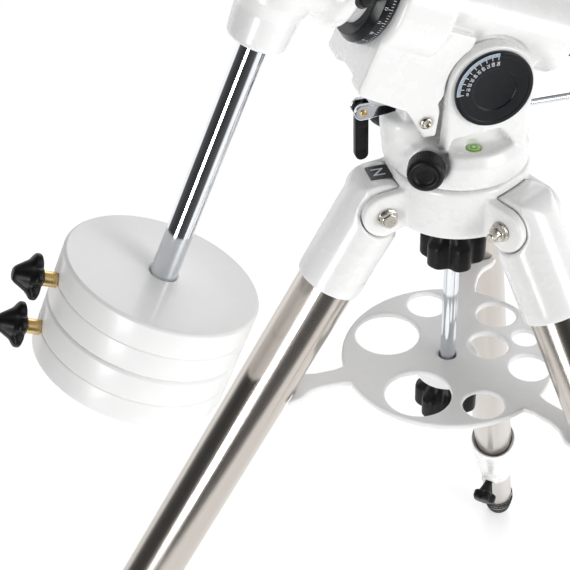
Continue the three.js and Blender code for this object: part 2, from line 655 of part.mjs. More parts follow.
// ---------------------------------------------------------------- declination axis
// Declination frame: the two axes cross at the origin, +Z runs up the declination axis.
function decHousing() {
  const flangeShape = [[0, -45.5], [30, -45.5], [34, -42], [34, -34], [29, -26], [29, 0], [0, 0]];
  const flange = alongY(turned(flangeShape, 28));
  const nose = alongY(turned([[0, 0], [24, 0], [24, 36], [22, 38], [0, 38]], 24));
  const tube = turned([
    [0, DEC_BOTTOM],
    [19, DEC_BOTTOM],
    [21, DEC_BOTTOM + 2],
    [23, -34],
    [DEC_TUBE, -24],
    [DEC_TUBE, DEC_TOP],
    [0, DEC_TOP],
  ], 24);
  const gearCase = turned([[0, 22], [31, 22], [34, 25], [34, 51], [31, 54], [0, 54]], 28);
  const wormX = DEC_WHEEL_RADIUS + WORM_RADIUS + FIT;
  const wormCase = alongY(turned([[0, -24], [10, -24], [11, -22], [11, 22], [10, 24], [0, 24]], 16));
  wormCase.translate(wormX, 0, DEC_WHEEL_PLACE);
  const bore = hole(11 + FIT, -19, 90);
  const barBore = hole(BAR_RADIUS + FIT, -70, -18);
  const sight = alongY(hole(9, -60, 60));
  const shaftSocket = alongY(hole(13 + FIT, -50, -24));
  const capSeat = alongY(hole(18 + FIT, 30, 50));
  const wheelRoom = hole(DEC_WHEEL_RADIUS + 1, DEC_WHEEL_PLACE - 10, DEC_WHEEL_PLACE + 10);
  const wormRoom = alongY(hole(WORM_RADIUS + 0.6, -40, 20)).translate(wormX, 0, DEC_WHEEL_PLACE);
  const raLeverHole = hole(3.5 + FIT, 26, 40).translate(0, -38, 0).rotateY(radians(-55));
  const decLeverHole = hole(3.5 + FIT, 20, 40).rotateY(-Math.PI / 2).translate(0, 0, DEC_WHEEL_PLACE);
  return cut(join(flange, nose, tube, gearCase, wormCase), bore, barBore, sight, shaftSocket, capSeat,
    wheelRoom, wormRoom, raLeverHole, decLeverHole);
}

// The slot for a telescope's dovetail bar has one undercut wall and a raised pad on its floor.
function saddle() {
  const block = slab(outline([
    [-50, SADDLE.bottom + FIT],
    [50, SADDLE.bottom + FIT],
    [50, SADDLE.top - 10],
    [46, SADDLE.top],
    [-46, SADDLE.top],
    [-50, SADDLE.top - 10],
  ]), -31, 31);
  const slotShape = outline([[-23.65, SADDLE.floor], [24, SADDLE.floor], [24, 130], [-16, 130]]);
  const slot = plate(slotShape, -70, 70).rotateX(Math.PI / 2);
  const pad = box([-14, 20], [-50, 50], [SADDLE.floor - 1, SADDLE.pad]);
  const screwHoles = [-30, 30].map((y) => alongX(hole(3 + FIT, 20, 40)).translate(0, y, SADDLE.screw));
  const waist = [-1, 1].map((side) => rod(WAIST_RADIUS, 80, 99).translate(side * 41, 0, 0));
  return cut(join(cut(block, slot), pad), ...screwHoles, ...waist);
}

function counterweight(top) {
  const half = WEIGHT_THICK / 2;
  const body = turned([
    [0, -WEIGHT_THICK],
    [WEIGHT_RADIUS - 1.5, -WEIGHT_THICK],
    [WEIGHT_RADIUS, 1.5 - WEIGHT_THICK],
    [WEIGHT_RADIUS, -1.5],
    [WEIGHT_RADIUS - 1.5, 0],
    [0, 0],
  ], 40);
  const bore = hole(BAR_RADIUS + FIT, -60, 10);
  const screwHole = alongY(hole(4 + FIT, 0, 90)).translate(0, 0, -half);
  return cut(body, bore, screwHole).translate(0, 0, top);
}

function addDeclination(altitude) {
  const dec = frameIn(altitude, [0, DEC_PLACE, RA_OFFSET]);
  addPiece(dec, "dec_housing", "white", decHousing());
  const shaftStart = -28 - DEC_PLACE;
  addPiece(dec, "ra_shaft", "nickel", alongY(pipe(8.5, 13, shaftStart, -24 - FIT)));
  const capShape = [[0, 30.6], [18, 30.6], [18, 38], [22.5, 38.4], [22.5, 43], [20.5, 45], [0, 45]];
  const polarCap = turned(capShape, 28);
  addPiece(dec, "polar_cap", "black", alongY(polarCap));
  const raLever = leverHandle(24).rotateZ(Math.PI / 2).translate(0, -38, 34.4);
  addPiece(dec, "ra_clutch_lever", "black", raLever.rotateY(radians(-55)));
  const column = join(rod(11, -18, 80), rod(26, 78, SADDLE.bottom));
  addPiece(dec, "dec_shaft", "nickel", cut(column, alongY(rod(7, -20, 20))));
  const decWheel = wormWheel(DEC_WHEEL_RADIUS, WHEEL_TEETH, 10, 11 + FIT);
  addPiece(dec, "dec_worm_wheel", "brass", decWheel.translate(0, 0, DEC_WHEEL_PLACE));
  const pitch = (2 * Math.PI * DEC_WHEEL_RADIUS) / WHEEL_TEETH;
  const wormX = DEC_WHEEL_RADIUS + WORM_RADIUS + FIT;
  const decWorm = worm(WORM_RADIUS, pitch, 4, -18, 27).rotateZ(-Math.PI / 2);
  addPiece(dec, "dec_worm", "nickel", decWorm.translate(wormX, 0, DEC_WHEEL_PLACE));
  const slowKnob = roundKnob(13, 15, 2, 0.5, 0.1).rotateX(Math.PI / 2);
  addPiece(dec, "dec_slow_motion_knob", "black", slowKnob.translate(wormX, -29.6, DEC_WHEEL_PLACE));
  const circle = turned([
    [DEC_TUBE + FIT, 56],
    [37, 56],
    [37.5, 57],
    [37.5, 62],
    [34, 67],
    [DEC_TUBE + FIT, 67],
    [DEC_TUBE + FIT, 56],
  ], 28);
  addPiece(dec, "dec_setting_circle", "circle", circle);
  const decLever = leverHandle(22).rotateZ(Math.PI).rotateX(Math.PI / 2).rotateZ(-Math.PI / 2);
  addPiece(dec, "dec_clutch_lever", "black", decLever.translate(-34.4, 0, DEC_WHEEL_PLACE));
  addPiece(dec, "saddle", "white", saddle());
  for (const [name, y] of [["front", 30], ["rear", -30]]) {
    const knob = starKnob({
      radius: 13,
      lobes: 6,
      dip: 3,
      height: 12,
      neckRadius: 6,
      neckLength: 5,
      studRadius: 3,
      studLength: 13,
    });
    addPiece(dec, `saddle_knob_${name}`, "black", knob.rotateY(Math.PI / 2).translate(40, y, SADDLE.screw));
  }
  addPiece(dec, "counterweight_bar", "chrome", turned([[0, BAR_END], [BAR_RADIUS - 1, BAR_END],
    [BAR_RADIUS, BAR_END + 1], [BAR_RADIUS, -21], [BAR_RADIUS - 1, -20], [0, -20]], 24));
  for (const [name, top] of [["upper", WEIGHT_TOP], ["lower", WEIGHT_TOP - WEIGHT_THICK - FIT]]) {
    addPiece(dec, `counterweight_${name}`, "weight", counterweight(top));
    const knob = starKnob({
      radius: 17,
      lobes: 5,
      dip: 4.5,
      height: 7.5,
      neckRadius: 7,
      neckLength: 2,
      domeLength: 12.5,
      domeTop: 4,
      studRadius: 4,
      studLength: WEIGHT_KNOB_REACH - 15,
    });
    knob.rotateX(-Math.PI / 2).translate(0, WEIGHT_KNOB_REACH, top - WEIGHT_THICK / 2);
    addPiece(dec, `weight_knob_${name}`, "black", knob);
  }
  const cap = turned([
    [0, BAR_END - 3],
    [14, BAR_END - 3],
    [15.5, BAR_END - 1],
    [15.5, BAR_END + 8],
    [14, BAR_END + 9],
    [0, BAR_END + 9],
  ], 28);
  addPiece(dec, "toe_saver_cap", "black", cut(cap, hole(BAR_RADIUS + FIT, BAR_END - FIT, BAR_END + 20)));
}

addTripod();
addBase();
const altitudeFrame = frameIn(stand, [0, PIVOT.y, PIVOT.z], [ALTITUDE, 0, 0]);
addPolarAxis(altitudeFrame);
addDeclination(altitudeFrame);

export default mount;
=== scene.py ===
"""Looks of the equatorial mount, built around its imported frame.

Shapes are drawn in millimetres, each in the frame of the part it belongs to, and stored in metres. Castings
are signed distances sampled on a grid and meshed; turned pieces are profiles swept about an axis.
"""

import json
import math

import bpy
import numpy as np
import openvdb
from mathutils import Matrix, Vector


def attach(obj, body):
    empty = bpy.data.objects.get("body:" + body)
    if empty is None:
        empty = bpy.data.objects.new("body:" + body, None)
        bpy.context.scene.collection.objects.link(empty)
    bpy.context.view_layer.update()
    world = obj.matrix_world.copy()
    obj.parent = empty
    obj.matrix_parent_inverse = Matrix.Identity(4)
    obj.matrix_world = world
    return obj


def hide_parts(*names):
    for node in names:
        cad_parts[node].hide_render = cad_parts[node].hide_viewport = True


with open("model.json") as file:
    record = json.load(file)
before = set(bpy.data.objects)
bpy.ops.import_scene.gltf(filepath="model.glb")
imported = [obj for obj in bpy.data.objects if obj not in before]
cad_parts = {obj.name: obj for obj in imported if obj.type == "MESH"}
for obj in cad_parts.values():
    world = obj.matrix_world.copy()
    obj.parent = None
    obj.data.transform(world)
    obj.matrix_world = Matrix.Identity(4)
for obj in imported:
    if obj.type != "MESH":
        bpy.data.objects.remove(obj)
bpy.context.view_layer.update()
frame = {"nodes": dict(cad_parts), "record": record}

RECORD = frame["record"]
BODY = {node: body for body, nodes in RECORD["behaviour"]["bodies"].items() for node in nodes}
SLOT = {part["node"]: part["material_slot"] for part in RECORD["subparts"]}

# ---------------------------------------------------------------- dimensions, in millimetres
# The stand: its origin is the middle of the tray's top face, and a leg's frame hangs from its hinge.
TRAY_HEIGHT = 794.004
AXIS_Y = -151.0
LEGS = {"north": 90, "southwest": 210, "southeast": 330}
SPLAY = math.radians(30)
HINGE_Y, HINGE_Z = 61, 162
LEG_LENGTH = 1086
UPPER_BORE, LOWER_BORE = 22.55, 19.3
CLAMP_Z = -882
CLAMP_TURN = math.radians(-8)
HEAD_BORE = 6.3
SCREW_X, SCREW_Y, SCREW_Z = 50, 43, 208.5
SCREW_ANGLE = math.radians(24.4)
NORTH_BOLT_Z, SOUTH_BOLT_Z = 240, 222
LEVEL_X, LEVEL_Y = -33.3, 1.5

# The head: the altitude pivot, the polar axis above it and the declination axis along it.
ALTITUDE = math.radians(23.5)
PIVOT = (0, -8, 263)
RA_OFFSET = 35
DEC_PLACE = 158
GEAR_PLACE = 68
DEC_WORM_X, DEC_WORM_Z = 32.3, 38
SADDLE_SCREW_Y, SADDLE_SCREW_Z = 30, 107
WEIGHT_TOPS = {"upper": -247, "lower": -289.3}
WEIGHT_HEIGHT = 42


def at(x, y, z):
    return Matrix.Translation((x / 1000, y / 1000, z / 1000))


def turn(angle, axis):
    return Matrix.Rotation(angle, 4, axis)


STAND = at(0, AXIS_Y, TRAY_HEIGHT)
ALT = STAND @ at(*PIVOT) @ turn(ALTITUDE, "X")
POLAR = ALT @ at(0, 0, RA_OFFSET)
DEC = POLAR @ at(0, DEC_PLACE, 0)
ALONG_X = turn(math.pi / 2, "Y")
AGAINST_X = turn(-math.pi / 2, "Y")
ALONG_Y = turn(-math.pi / 2, "X")
AGAINST_Y = turn(math.pi / 2, "X")
AS_DRAWN = Matrix.Identity(4)


def bearing(direction):
    """How far a leg stands from the north one, counterclockwise."""
    return math.radians(LEGS[direction] - 90)


def sector(direction):
    return STAND @ turn(bearing(direction), "Z")


def leg_frame(direction):
    return sector(direction) @ at(0, HINGE_Y, HINGE_Z) @ turn(SPLAY, "X")


# ---------------------------------------------------------------- materials
def add_node(tree, kind, **inputs):
    node = tree.nodes.new(kind)
    for name, value in inputs.items():
        node.inputs[name.replace("_", " ")].default_value = value
    return node


def noise(tree, scale, detail=3.0, stretch=(1, 1, 1)):
    coords = tree.nodes.new("ShaderNodeTexCoord")
    mapping = tree.nodes.new("ShaderNodeMapping")
    mapping.inputs["Scale"].default_value = stretch
    texture = add_node(tree, "ShaderNodeTexNoise", Scale=scale, Detail=detail)
    tree.links.new(coords.outputs["Object"], mapping.inputs["Vector"])
    tree.links.new(mapping.outputs["Vector"], texture.inputs["Vector"])
    return texture.outputs["Fac"]


def spread(tree, value, low, high):
    ranged = tree.nodes.new("ShaderNodeMapRange")
    ranged.inputs["From Min"].default_value = 0.3
    ranged.inputs["From Max"].default_value = 0.7
    ranged.inputs["To Min"].default_value = low
    ranged.inputs["To Max"].default_value = high
    tree.links.new(value, ranged.inputs["Value"])
    return ranged.outputs["Result"]


COAT_ROUGHNESS = 0.06
RELIEF_DEPTH = 0.0004   # metres


def finish(name, dark, light, rough, grain, bump, metallic=0.0, coat=0.0, stretch=(1, 1, 1),
           specular=0.5):
    """A material whose colour, roughness and relief vary with noise of a grain, in features per metre."""
    material = bpy.data.materials.new(name)
    material.use_nodes = True
    tree = material.node_tree
    shader = tree.nodes["Principled BSDF"]
    shader.inputs["Metallic"].default_value = metallic
    shader.inputs["Coat Weight"].default_value = coat
    shader.inputs["Coat Roughness"].default_value = COAT_ROUGHNESS
    shader.inputs["Specular IOR Level"].default_value = specular
    broad = noise(tree, grain / 12, 4, stretch)
    fine = noise(tree, grain, 2, stretch)
    mix = tree.nodes.new("ShaderNodeMix")
    mix.data_type = "RGBA"
    mix.inputs["A"].default_value = (*dark, 1)
    mix.inputs["B"].default_value = (*light, 1)
    tree.links.new(spread(tree, broad, 0, 1), mix.inputs["Factor"])
    tree.links.new(mix.outputs["Result"], shader.inputs["Base Color"])
    tree.links.new(spread(tree, broad, *rough), shader.inputs["Roughness"])
    relief = tree.nodes.new("ShaderNodeBump")
    relief.inputs["Strength"].default_value = bump
    relief.inputs["Distance"].default_value = RELIEF_DEPTH
    tree.links.new(fine, relief.inputs["Height"])
    tree.links.new(relief.outputs["Normal"], shader.inputs["Normal"])
    return material


MATERIAL = {
    "white_casting": finish("white_casting", (0.865, 0.865, 0.86), (0.88, 0.88, 0.875), (0.24, 0.3),
                            900, 0.03, coat=0.3),
    "white_weight": finish("white_weight", (0.86, 0.86, 0.855), (0.875, 0.875, 0.87), (0.32, 0.38),
                           1400, 0.08, coat=0.15),
    "tray_paint": finish("tray_paint", (0.85, 0.85, 0.85), (0.87, 0.87, 0.87), (0.4, 0.48), 1500, 0.06),
    "leg_steel": finish("leg_steel", (0.5, 0.46, 0.42), (0.62, 0.58, 0.54), (0.16, 0.26),
                        900, 0.12, 1.0, stretch=(1, 1, 0.02)),
    "chrome_steel": finish("chrome_steel", (0.7, 0.72, 0.75), (0.78, 0.8, 0.83), (0.04, 0.09),
                           700, 0.02, 1.0),
    "nickel_steel": finish("nickel_steel", (0.5, 0.47, 0.42), (0.64, 0.61, 0.55), (0.16, 0.3),
                           1200, 0.1, 1.0),
    "bronze_gear": finish("bronze_gear", (0.55, 0.38, 0.16), (0.68, 0.5, 0.24), (0.22, 0.36),
                          1500, 0.12, 1.0),
    "black_plastic": finish("black_plastic", (0.004, 0.004, 0.005), (0.009, 0.009, 0.01), (0.3, 0.42),
                            2200, 0.16, specular=0.2),
    "scale_black": finish("scale_black", (0.004, 0.005, 0.007), (0.007, 0.008, 0.01), (0.2, 0.28),
                          2000, 0.05, specular=0.25),
    "foot_rubber": finish("foot_rubber", (0.018, 0.018, 0.018), (0.035, 0.035, 0.035), (0.7, 0.85),
                          1600, 0.3, specular=0.3),
    "level_green": finish("level_green", (0.22, 0.5, 0.05), (0.34, 0.62, 0.1), (0.05, 0.1),
                          700, 0.0, coat=1.0),
}
# Finishes of details that the CAD doesn't have.
MARKS = finish("white_marks", (0.7, 0.74, 0.8), (0.8, 0.83, 0.88), (0.4, 0.5), 2000, 0.05)
BAND = finish("pale_band", (0.48, 0.58, 0.7), (0.58, 0.67, 0.78), (0.3, 0.4), 2000, 0.03)
BUBBLE = finish("pale_green", (0.5, 0.75, 0.38), (0.6, 0.82, 0.48), (0.1, 0.2), 700, 0.0)
BRASS = finish("brass_rivet", (0.62, 0.43, 0.18), (0.74, 0.54, 0.26), (0.2, 0.34), 1500, 0.1, 1.0)
PLATE = finish("black_plate", (0.012, 0.012, 0.013), (0.02, 0.02, 0.022), (0.3, 0.4), 2000, 0.05)
for node, cad_piece in frame["nodes"].items():
    cad_piece.data.materials.clear()
    cad_piece.data.materials.append(MATERIAL[SLOT[node]])


# ---------------------------------------------------------------- signed distances, sampled on a grid
def sample(low, high, step):
    """Coordinates of a grid of points between two corners, as arrays that broadcast together."""
    axes = [np.arange(a, b + step, step, dtype=np.float32) for a, b in zip(low, high)]
    return np.meshgrid(*axes, indexing="ij", sparse=True)


def swing(a, b, angle):
    """Coordinates (a, b) seen from axes turned by angle from the first axis towards the second."""
    return a * math.cos(angle) + b * math.sin(angle), b * math.cos(angle) - a * math.sin(angle)


def span(t, low, high):
    return np.maximum(low - t, t - high)


def rod(u, v, t, radius, low, high):
    return np.maximum(np.hypot(u, v) - radius, span(t, low, high))


def cone(u, v, t, radius, end_radius, low, high):
    slope = (end_radius - radius) / (high - low)
    reach = (np.hypot(u, v) - radius - slope * (t - low)) / math.hypot(1, slope)
    return np.maximum(reach, span(t, low, high))


def brick(x, y, z, xs, ys, zs):
    return np.maximum(np.maximum(span(x, *xs), span(y, *ys)), span(z, *zs))


def arc(u, v, radius, start, end, steps=14):
    angles = [math.radians(start + (end - start) * i / steps) for i in range(steps + 1)]
    return [(u + radius * math.cos(a), v + radius * math.sin(a)) for a in angles]


def polygon(u, v, points):
    """Signed distance to a closed outline, negative inside, where outline points may repeat."""
    nearest = None
    sign = None
    for (u0, v0), (u1, v1) in zip(points, points[1:] + points[:1]):
        du, dv = u1 - u0, v1 - v0
        if du * du + dv * dv < 1e-9:
            continue
        along = np.clip(((u - u0) * du + (v - v0) * dv) / (du * du + dv * dv), 0, 1)
        square = (u - u0 - du * along) ** 2 + (v - v0 - dv * along) ** 2
        above = (v0 <= v) & (v1 > v)
        below = (v1 <= v) & (v0 > v)
        side = du * (v - v0) - dv * (u - u0)
        crossing = (above & (side > 0)) | (below & (side < 0))
        nearest = square if nearest is None else np.minimum(nearest, square)
        sign = crossing if sign is None else sign ^ crossing
    return np.where(sign, -1, 1) * np.sqrt(nearest)


def prism(u, v, t, points, low, high):
    return np.maximum(polygon(u, v, points), span(t, low, high))


def lathe(u, v, t, profile):
    return polygon(np.hypot(u, v), t, profile)


def join(*shapes):
    result = shapes[0]
    for shape in shapes[1:]:
        result = np.minimum(result, shape)
    return result


def cut(shape, *tools):
    for tool in tools:
        shape = np.maximum(shape, -tool)
    return shape


def soften(field, passes):
    """Rounds every edge and fillets every corner by blurring the distances."""
    for _ in range(passes):
        for axis in range(3):
            count = field.shape[axis]
            before = np.concatenate([field.take([0], axis), field.take(range(count - 1), axis)], axis)
            after = np.concatenate([field.take(range(1, count), axis), field.take([-1], axis)], axis)
            field = 0.5 * field + 0.25 * (before + after)
    return field


def skin(name, shape, low, high, step, passes=4):
    """A mesh in metres of the surface of shape(x, y, z), which works in millimetres."""
    field = np.ascontiguousarray(soften(shape(*sample(low, high, step)), passes), dtype=np.float32)
    vdb = openvdb.FloatGrid(background=float(step * 3))
    vdb.copyFromArray(field)
    points, quads = vdb.convertToQuads(isovalue=0.0)
    places = (points * step + np.array(low)) / 1000
    mesh = bpy.data.meshes.new(name)
    mesh.from_pydata(places.tolist(), [], quads.tolist())
    mesh.update()
    mesh.shade_smooth()
    return mesh


# ---------------------------------------------------------------- turned and lobed meshes
SMALLEST_CURVE = 0.02
SHARP_EDGE = math.radians(40)


def fillet(profile, radius, steps=4):
    """The profile with each inner corner replaced by a small curve."""
    points = [profile[0]]
    for before, corner, after in zip(profile, profile[1:], profile[2:]):
        p, q, r = (np.array(point, float) for point in (before, corner, after))
        reach = min(radius, 0.45 * np.linalg.norm(q - p), 0.45 * np.linalg.norm(r - q))
        if reach < SMALLEST_CURVE:
            points.append(tuple(q))
            continue
        start = q + (p - q) / np.linalg.norm(p - q) * reach
        end = q + (r - q) / np.linalg.norm(r - q) * reach
        for i in range(steps + 1):
            t = i / steps
            points.append(tuple((1 - t) ** 2 * start + 2 * t * (1 - t) * q + t * t * end))
    points.append(profile[-1])
    return points


def turned(name, profile, radius=0.8, sides=96, lobe=None, closed=False):
    """A profile of (radius, height) points turned about Z. lobe(angle, radius) may change the radius."""
    line = fillet(profile, radius)
    rings = []
    verts = []
    for reach, height in line:
        if reach < 1e-6:
            rings.append([len(verts)] * sides)
            verts.append((0, 0, height / 1000))
            continue
        ring = []
        for i in range(sides):
            angle = 2 * math.pi * i / sides
            r = reach if lobe is None else lobe(angle, reach)
            ring.append(len(verts))
            verts.append((r * math.cos(angle) / 1000, r * math.sin(angle) / 1000, height / 1000))
        rings.append(ring)
    if closed:
        rings.append(rings[0])
    faces = []
    for lower, upper in zip(rings, rings[1:]):
        for i in range(sides):
            j = (i + 1) % sides
            corners = [lower[i], lower[j], upper[j], upper[i]]
            face = list(dict.fromkeys(corners))
            if len(face) > 2:
                faces.append(face)
    mesh = bpy.data.meshes.new(name)
    mesh.from_pydata(verts, [], faces)
    mesh.validate()
    mesh.update()
    mesh.shade_smooth()
    mesh.set_sharp_from_angle(angle=SHARP_EDGE)
    return mesh


def lobes(count, dip, grip):
    """The radius of a knob with finger dips, which fade towards its centre."""
    def reach(angle, radius):
        share = min(radius / grip, 1) ** 3
        return radius - share * dip * (0.5 - 0.5 * math.cos(count * angle)) ** 2
    return reach


def knurl(count, depth, low_radius):
    """The radius of a grip with rounded grooves, on the part of its profile beyond low_radius."""
    def reach(angle, radius):
        return radius - (depth * (0.5 + 0.5 * math.cos(count * angle)) if radius > low_radius else 0)
    return reach


# ---------------------------------------------------------------- placing
def show(name, mesh, place, body, material):
    piece = bpy.data.objects.new(name, mesh)
    bpy.context.scene.collection.objects.link(piece)
    piece.matrix_world = place
    mesh.materials.append(material)
    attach(piece, body)
    return piece


def stand_for(node, mesh, place, material=None):
    piece = show(node + "_finished", mesh, place, BODY[node], material or MATERIAL[SLOT[node]])
    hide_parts(node)
    return piece


def trim(name, mesh, place, node, material):
    """A small detail that rides with a CAD node."""
    return show(name, mesh, place, BODY[node], material)


# ---------------------------------------------------------------- tripod castings
CAP = arc(0, 0, 22, -90, -270, 20) + arc(5.4, 2, 20, 90, 30, 10) + [(37, -12), (30, -30)]
POCKET = arc(0, 0, 18.4, -90, 55, 20) + [(13, 40), (-40, 40), (-40, -18.4)]


def leg_casting(x, y, z):
    yh, zh = swing(y, z, -SPLAY)
    barrel = rod(x, y, z, 25.7, -76, 45)
    body = join(prism(yh, zh, x, CAP, -30, 30), brick(x, y, z, (-30, 30), (-30, 30), (-95, -16)))
    west = prism(yh, zh, x, POCKET, -40, -16.5)
    east = prism(yh, zh, x, POCKET, 16.5, 40)
    socket = rod(x, y, z, UPPER_BORE, -95, -40)
    groove = cut(rod(x, y, z, 30, -73.5, -72.6), rod(x, y, z, 25.1, -75, -70))
    return cut(np.maximum(barrel, body), west, east, socket, rod(y, z, x, 4.3, -40, 40), groove)


def clamp_collar(x, y, z):
    x, y = swing(x, y, CLAMP_TURN)
    shell = lathe(x, y, z, [(0, -918), (20.2, -918), (21, -916), (24.2, -868), (27.4, -790), (27.4, -774),
                            (26.4, -770), (0, -770)])
    boss = rod(x, z - CLAMP_Z, y, 11, -28.5, -10)
    bores = join(rod(x, y, z, 25, -776, -760), rod(x, y, z, UPPER_BORE, -850, -760),
                 rod(x, y, z, LOWER_BORE, -930, -845), rod(x, z - CLAMP_Z, y, 4.5, -40, -10))
    return cut(join(shell, boss), bores)


def tripod_head(x, y, z):
    head = lathe(x, y, z, [(0, 148), (50, 148), (52.5, 150.5), (52.5, 188), (51.5, 189), (0, 189)])
    ear = [(20, 151), (45, 151)] + arc(HINGE_Y, HINGE_Z, 17.8, -90, 90, 20) + [(20, 186)]
    slot = arc(HINGE_Y, HINGE_Z, 22.5, 90, 270, 20) + [(110, 139.5), (110, 194), (50.5, 194), (50.5, 184.5)]
    for direction in LEGS:
        u, v = swing(x, y, bearing(direction))
        head = join(head, prism(v, z, u, ear, -24.5, 24.5))
    for direction in LEGS:
        u, v = swing(x, y, bearing(direction))
        head = cut(head, prism(v, z, u, slot, -16.8, 16.8), rod(v - HINGE_Y, z - HINGE_Z, u, 4.3, -40, 40))
    peg = rod(x, y - 20.3, z, 5, 186, 212)
    return cut(join(head, peg), rod(x, y, z, HEAD_BORE, 100, 220))


# Each hole's distance from the axis, its bearing from the north arm in degrees, and its radius.
TRAY_HOLES = [(54, 45, 26), (54, -45, 26), (65, 95, 16.25), (65, -95, 16.25),
              (66, 148, 16.25), (66, -148, 16.25), (35, 180, 16.25), (67, 180, 10.5)]


def tray(x, y, z):
    flat = np.hypot(x, y) - 85
    arm = [(-12, 78), (12, 78), (8.5, 92), (8.5, 108), (11, 118), (18, 128), (19.5, 136), (14, 141),
           (-14, 141), (-19.5, 136), (-18, 128), (-11, 118), (-8.5, 108), (-8.5, 92)]
    rib = [(22, -16), (70, -14), (112, -8), (112, -3), (22, -3)]
    ribs = rod(x, y, z, 25, -18, -1)
    seats = []
    for direction in LEGS:
        u, v = swing(x, y, bearing(direction))
        flat = np.minimum(flat, polygon(u, v, arm))
        ribs = join(ribs, prism(v, z, u, rib, -2, 2))
        leg_v, leg_z = swing(v - HINGE_Y, z - HINGE_Z, SPLAY)
        seats.append(np.maximum(np.hypot(u, leg_v) - 23.15, leg_z))
    flat = np.maximum(flat, span(z, -5.5, 0))
    for reach, degrees, radius in TRAY_HOLES:
        angle = math.radians(90 + degrees)
        flat = cut(flat, rod(x - reach * math.cos(angle), y - reach * math.sin(angle), z, radius, -99, 99))
    return cut(join(flat, ribs), *seats, rod(x, y, z, 7.25, -30, 10))


def foot(x, y, z):
    """The rubber foot, cut level where it stands on the ground, with three rings round its sleeve."""
    z = z + LEG_LENGTH
    dome = arc(0, 0, 17, -90, 0, 10)
    body = lathe(x, y, z, dome + [(21, 34), (21, 50), (20, 52), (0, 52)])
    above_ground = z * math.cos(SPLAY) + y * math.sin(SPLAY) + 15.5
    rings = [cut(rod(x, y, z, 30, h, h + 1.6), rod(x, y, z, 20.0, h - 9, h + 9)) for h in (38, 42, 46)]
    return cut(np.maximum(body, -above_ground), rod(x, y, z, LOWER_BORE, 22, 60), *rings)


def hexagon(u, v, across):
    half, tall = 0.5, 0.8660254
    first = np.abs(u)
    second = np.abs(half * u + tall * v)
    third = np.abs(half * u - tall * v)
    return np.maximum(np.maximum(first, second), third) - across / 2


HEXAGON_WIDTH = 11.4
HINGE_PITCH = 1.25
WASHER = 7.6


def hinge_bolt(x, y, z):
    radial = np.hypot(y, z)
    shank = rod(y, z, x, 4, -30, 37)
    thread = cut(shank, np.maximum(3.6 - radial + 0.35 * np.cos(x * 2 * math.pi / HINGE_PITCH), 31 - x))
    washers = join(rod(y, z, x, WASHER, 24.8, 26.5), rod(y, z, x, WASHER, -26.5, -24.8))
    nut = np.maximum(hexagon(y, z, HEXAGON_WIDTH), span(x, 26.3, 31.5))
    head = np.maximum(hexagon(y, z, HEXAGON_WIDTH), span(x, -31, -26.3))
    bevel = radial + np.abs(x) - 36.6
    return join(thread, washers, np.maximum(nut, bevel), np.maximum(head, bevel))


# ---------------------------------------------------------------- azimuth base and altitude hardware
def along_screw(x, y, z, side):
    """Coordinates across and along an azimuth screw, counted inwards from its knob's face."""
    dx, dy = -side * math.cos(SCREW_ANGLE), -math.sin(SCREW_ANGLE)
    along = (x - side * SCREW_X) * dx + (y - SCREW_Y) * dy
    across = (x - side * SCREW_X) * -dy + (y - SCREW_Y) * dx
    return across, z - SCREW_Z, along


def azimuth_base(x, y, z):
    ring = lathe(x, y, z, [(0, 189.3), (50, 189.3), (51, 191), (51, 207), (47, 215), (0, 215)])
    pivot_y, pivot_z = PIVOT[1:]
    fork = [(-36, 195), (-36, 222)] + arc(pivot_y, pivot_z, 31, 180, 0, 26) + [(25, 222), (28, 195)]
    column = lathe(x, y - 40, z, [(0, 189.3), (12, 189.3), (14, 192.7), (16.8, 200.5), (18, 213), (19, 228),
                                  (17, 232), (0, 232)])
    base = join(ring, prism(y, z, x, fork, 26, 38), prism(y, z, x, fork, -38, -26), column,
                brick(x, y, z, (-14, 14), (34, 46), (200, 247)),
                brick(x, y, z, (-14, 14), (-44, -32), (200, 231)))
    shelf = [(-27, 215), (22, 215), (19, 226), (-16, 229)]
    for side in (-1, 1):
        u, v, t = along_screw(x, y, z, side)
        base = cut(base, rod(u, v, t, 14.8, -20, 24))
        base = join(base, rod(u, v, t, 10, 24, 40))
        low, high = (29.5, 60) if side > 0 else (-60, -29.5)
        base = cut(base, rod(u, v, t, 3.8, -5, 57), prism(y, z, x, shelf, low, high))
    return cut(base, rod(y - pivot_y, z - pivot_z, x, 16.3, -60, 60),
               rod(x, z - NORTH_BOLT_Z, y, 4.3, 30, 50), rod(x, z - SOUTH_BOLT_Z, y, 3.55, -50, -28),
               rod(x, y, z, HEAD_BORE, 180, 207), brick(x, y, z, (-9, 9), (13, 27.5), (180, 213)),
               rod(x - LEVEL_X, y - LEVEL_Y, z, 5.5, 212, 218))


ALTITUDE_PITCH = 1.5
THREAD_DEPTH = 0.22


def altitude_bolt(radius, tip, end, level, neck):
    """A screw at a level, from its tip out to the clevis at its end, which tapers inwards over its neck."""
    away = math.copysign(1, end)

    def shape(x, y, z):
        t = y * away
        z = z - level
        start, stop = tip * away, end * away
        thread = THREAD_DEPTH * np.cos(t * 2 * math.pi / ALTITUDE_PITCH) - THREAD_DEPTH
        shank = np.maximum(np.hypot(x, z) - radius - thread, span(t, start + 3, stop - 6))
        nose = cone(x, z, t, 1, radius, start, start + 3.5)
        cheeks = prism(t - stop, z, x, [(-neck, -3.6), (-8, -5), (-4, -6)] + arc(0, 0, 6.5, -70, 70, 12)
                       + [(-4, 6), (-8, 5), (-neck, 3.6)], -6.3, 6.3)
        return join(shank, nose, cut(cheeks, brick(x, t, z, (-3.4, 3.4), (stop - 5, stop + 9), (-9, 9))))
    return shape


PANEL = [(-2.9, -13), (2.9, -13), (2.9, -33), (-2.9, -33)]


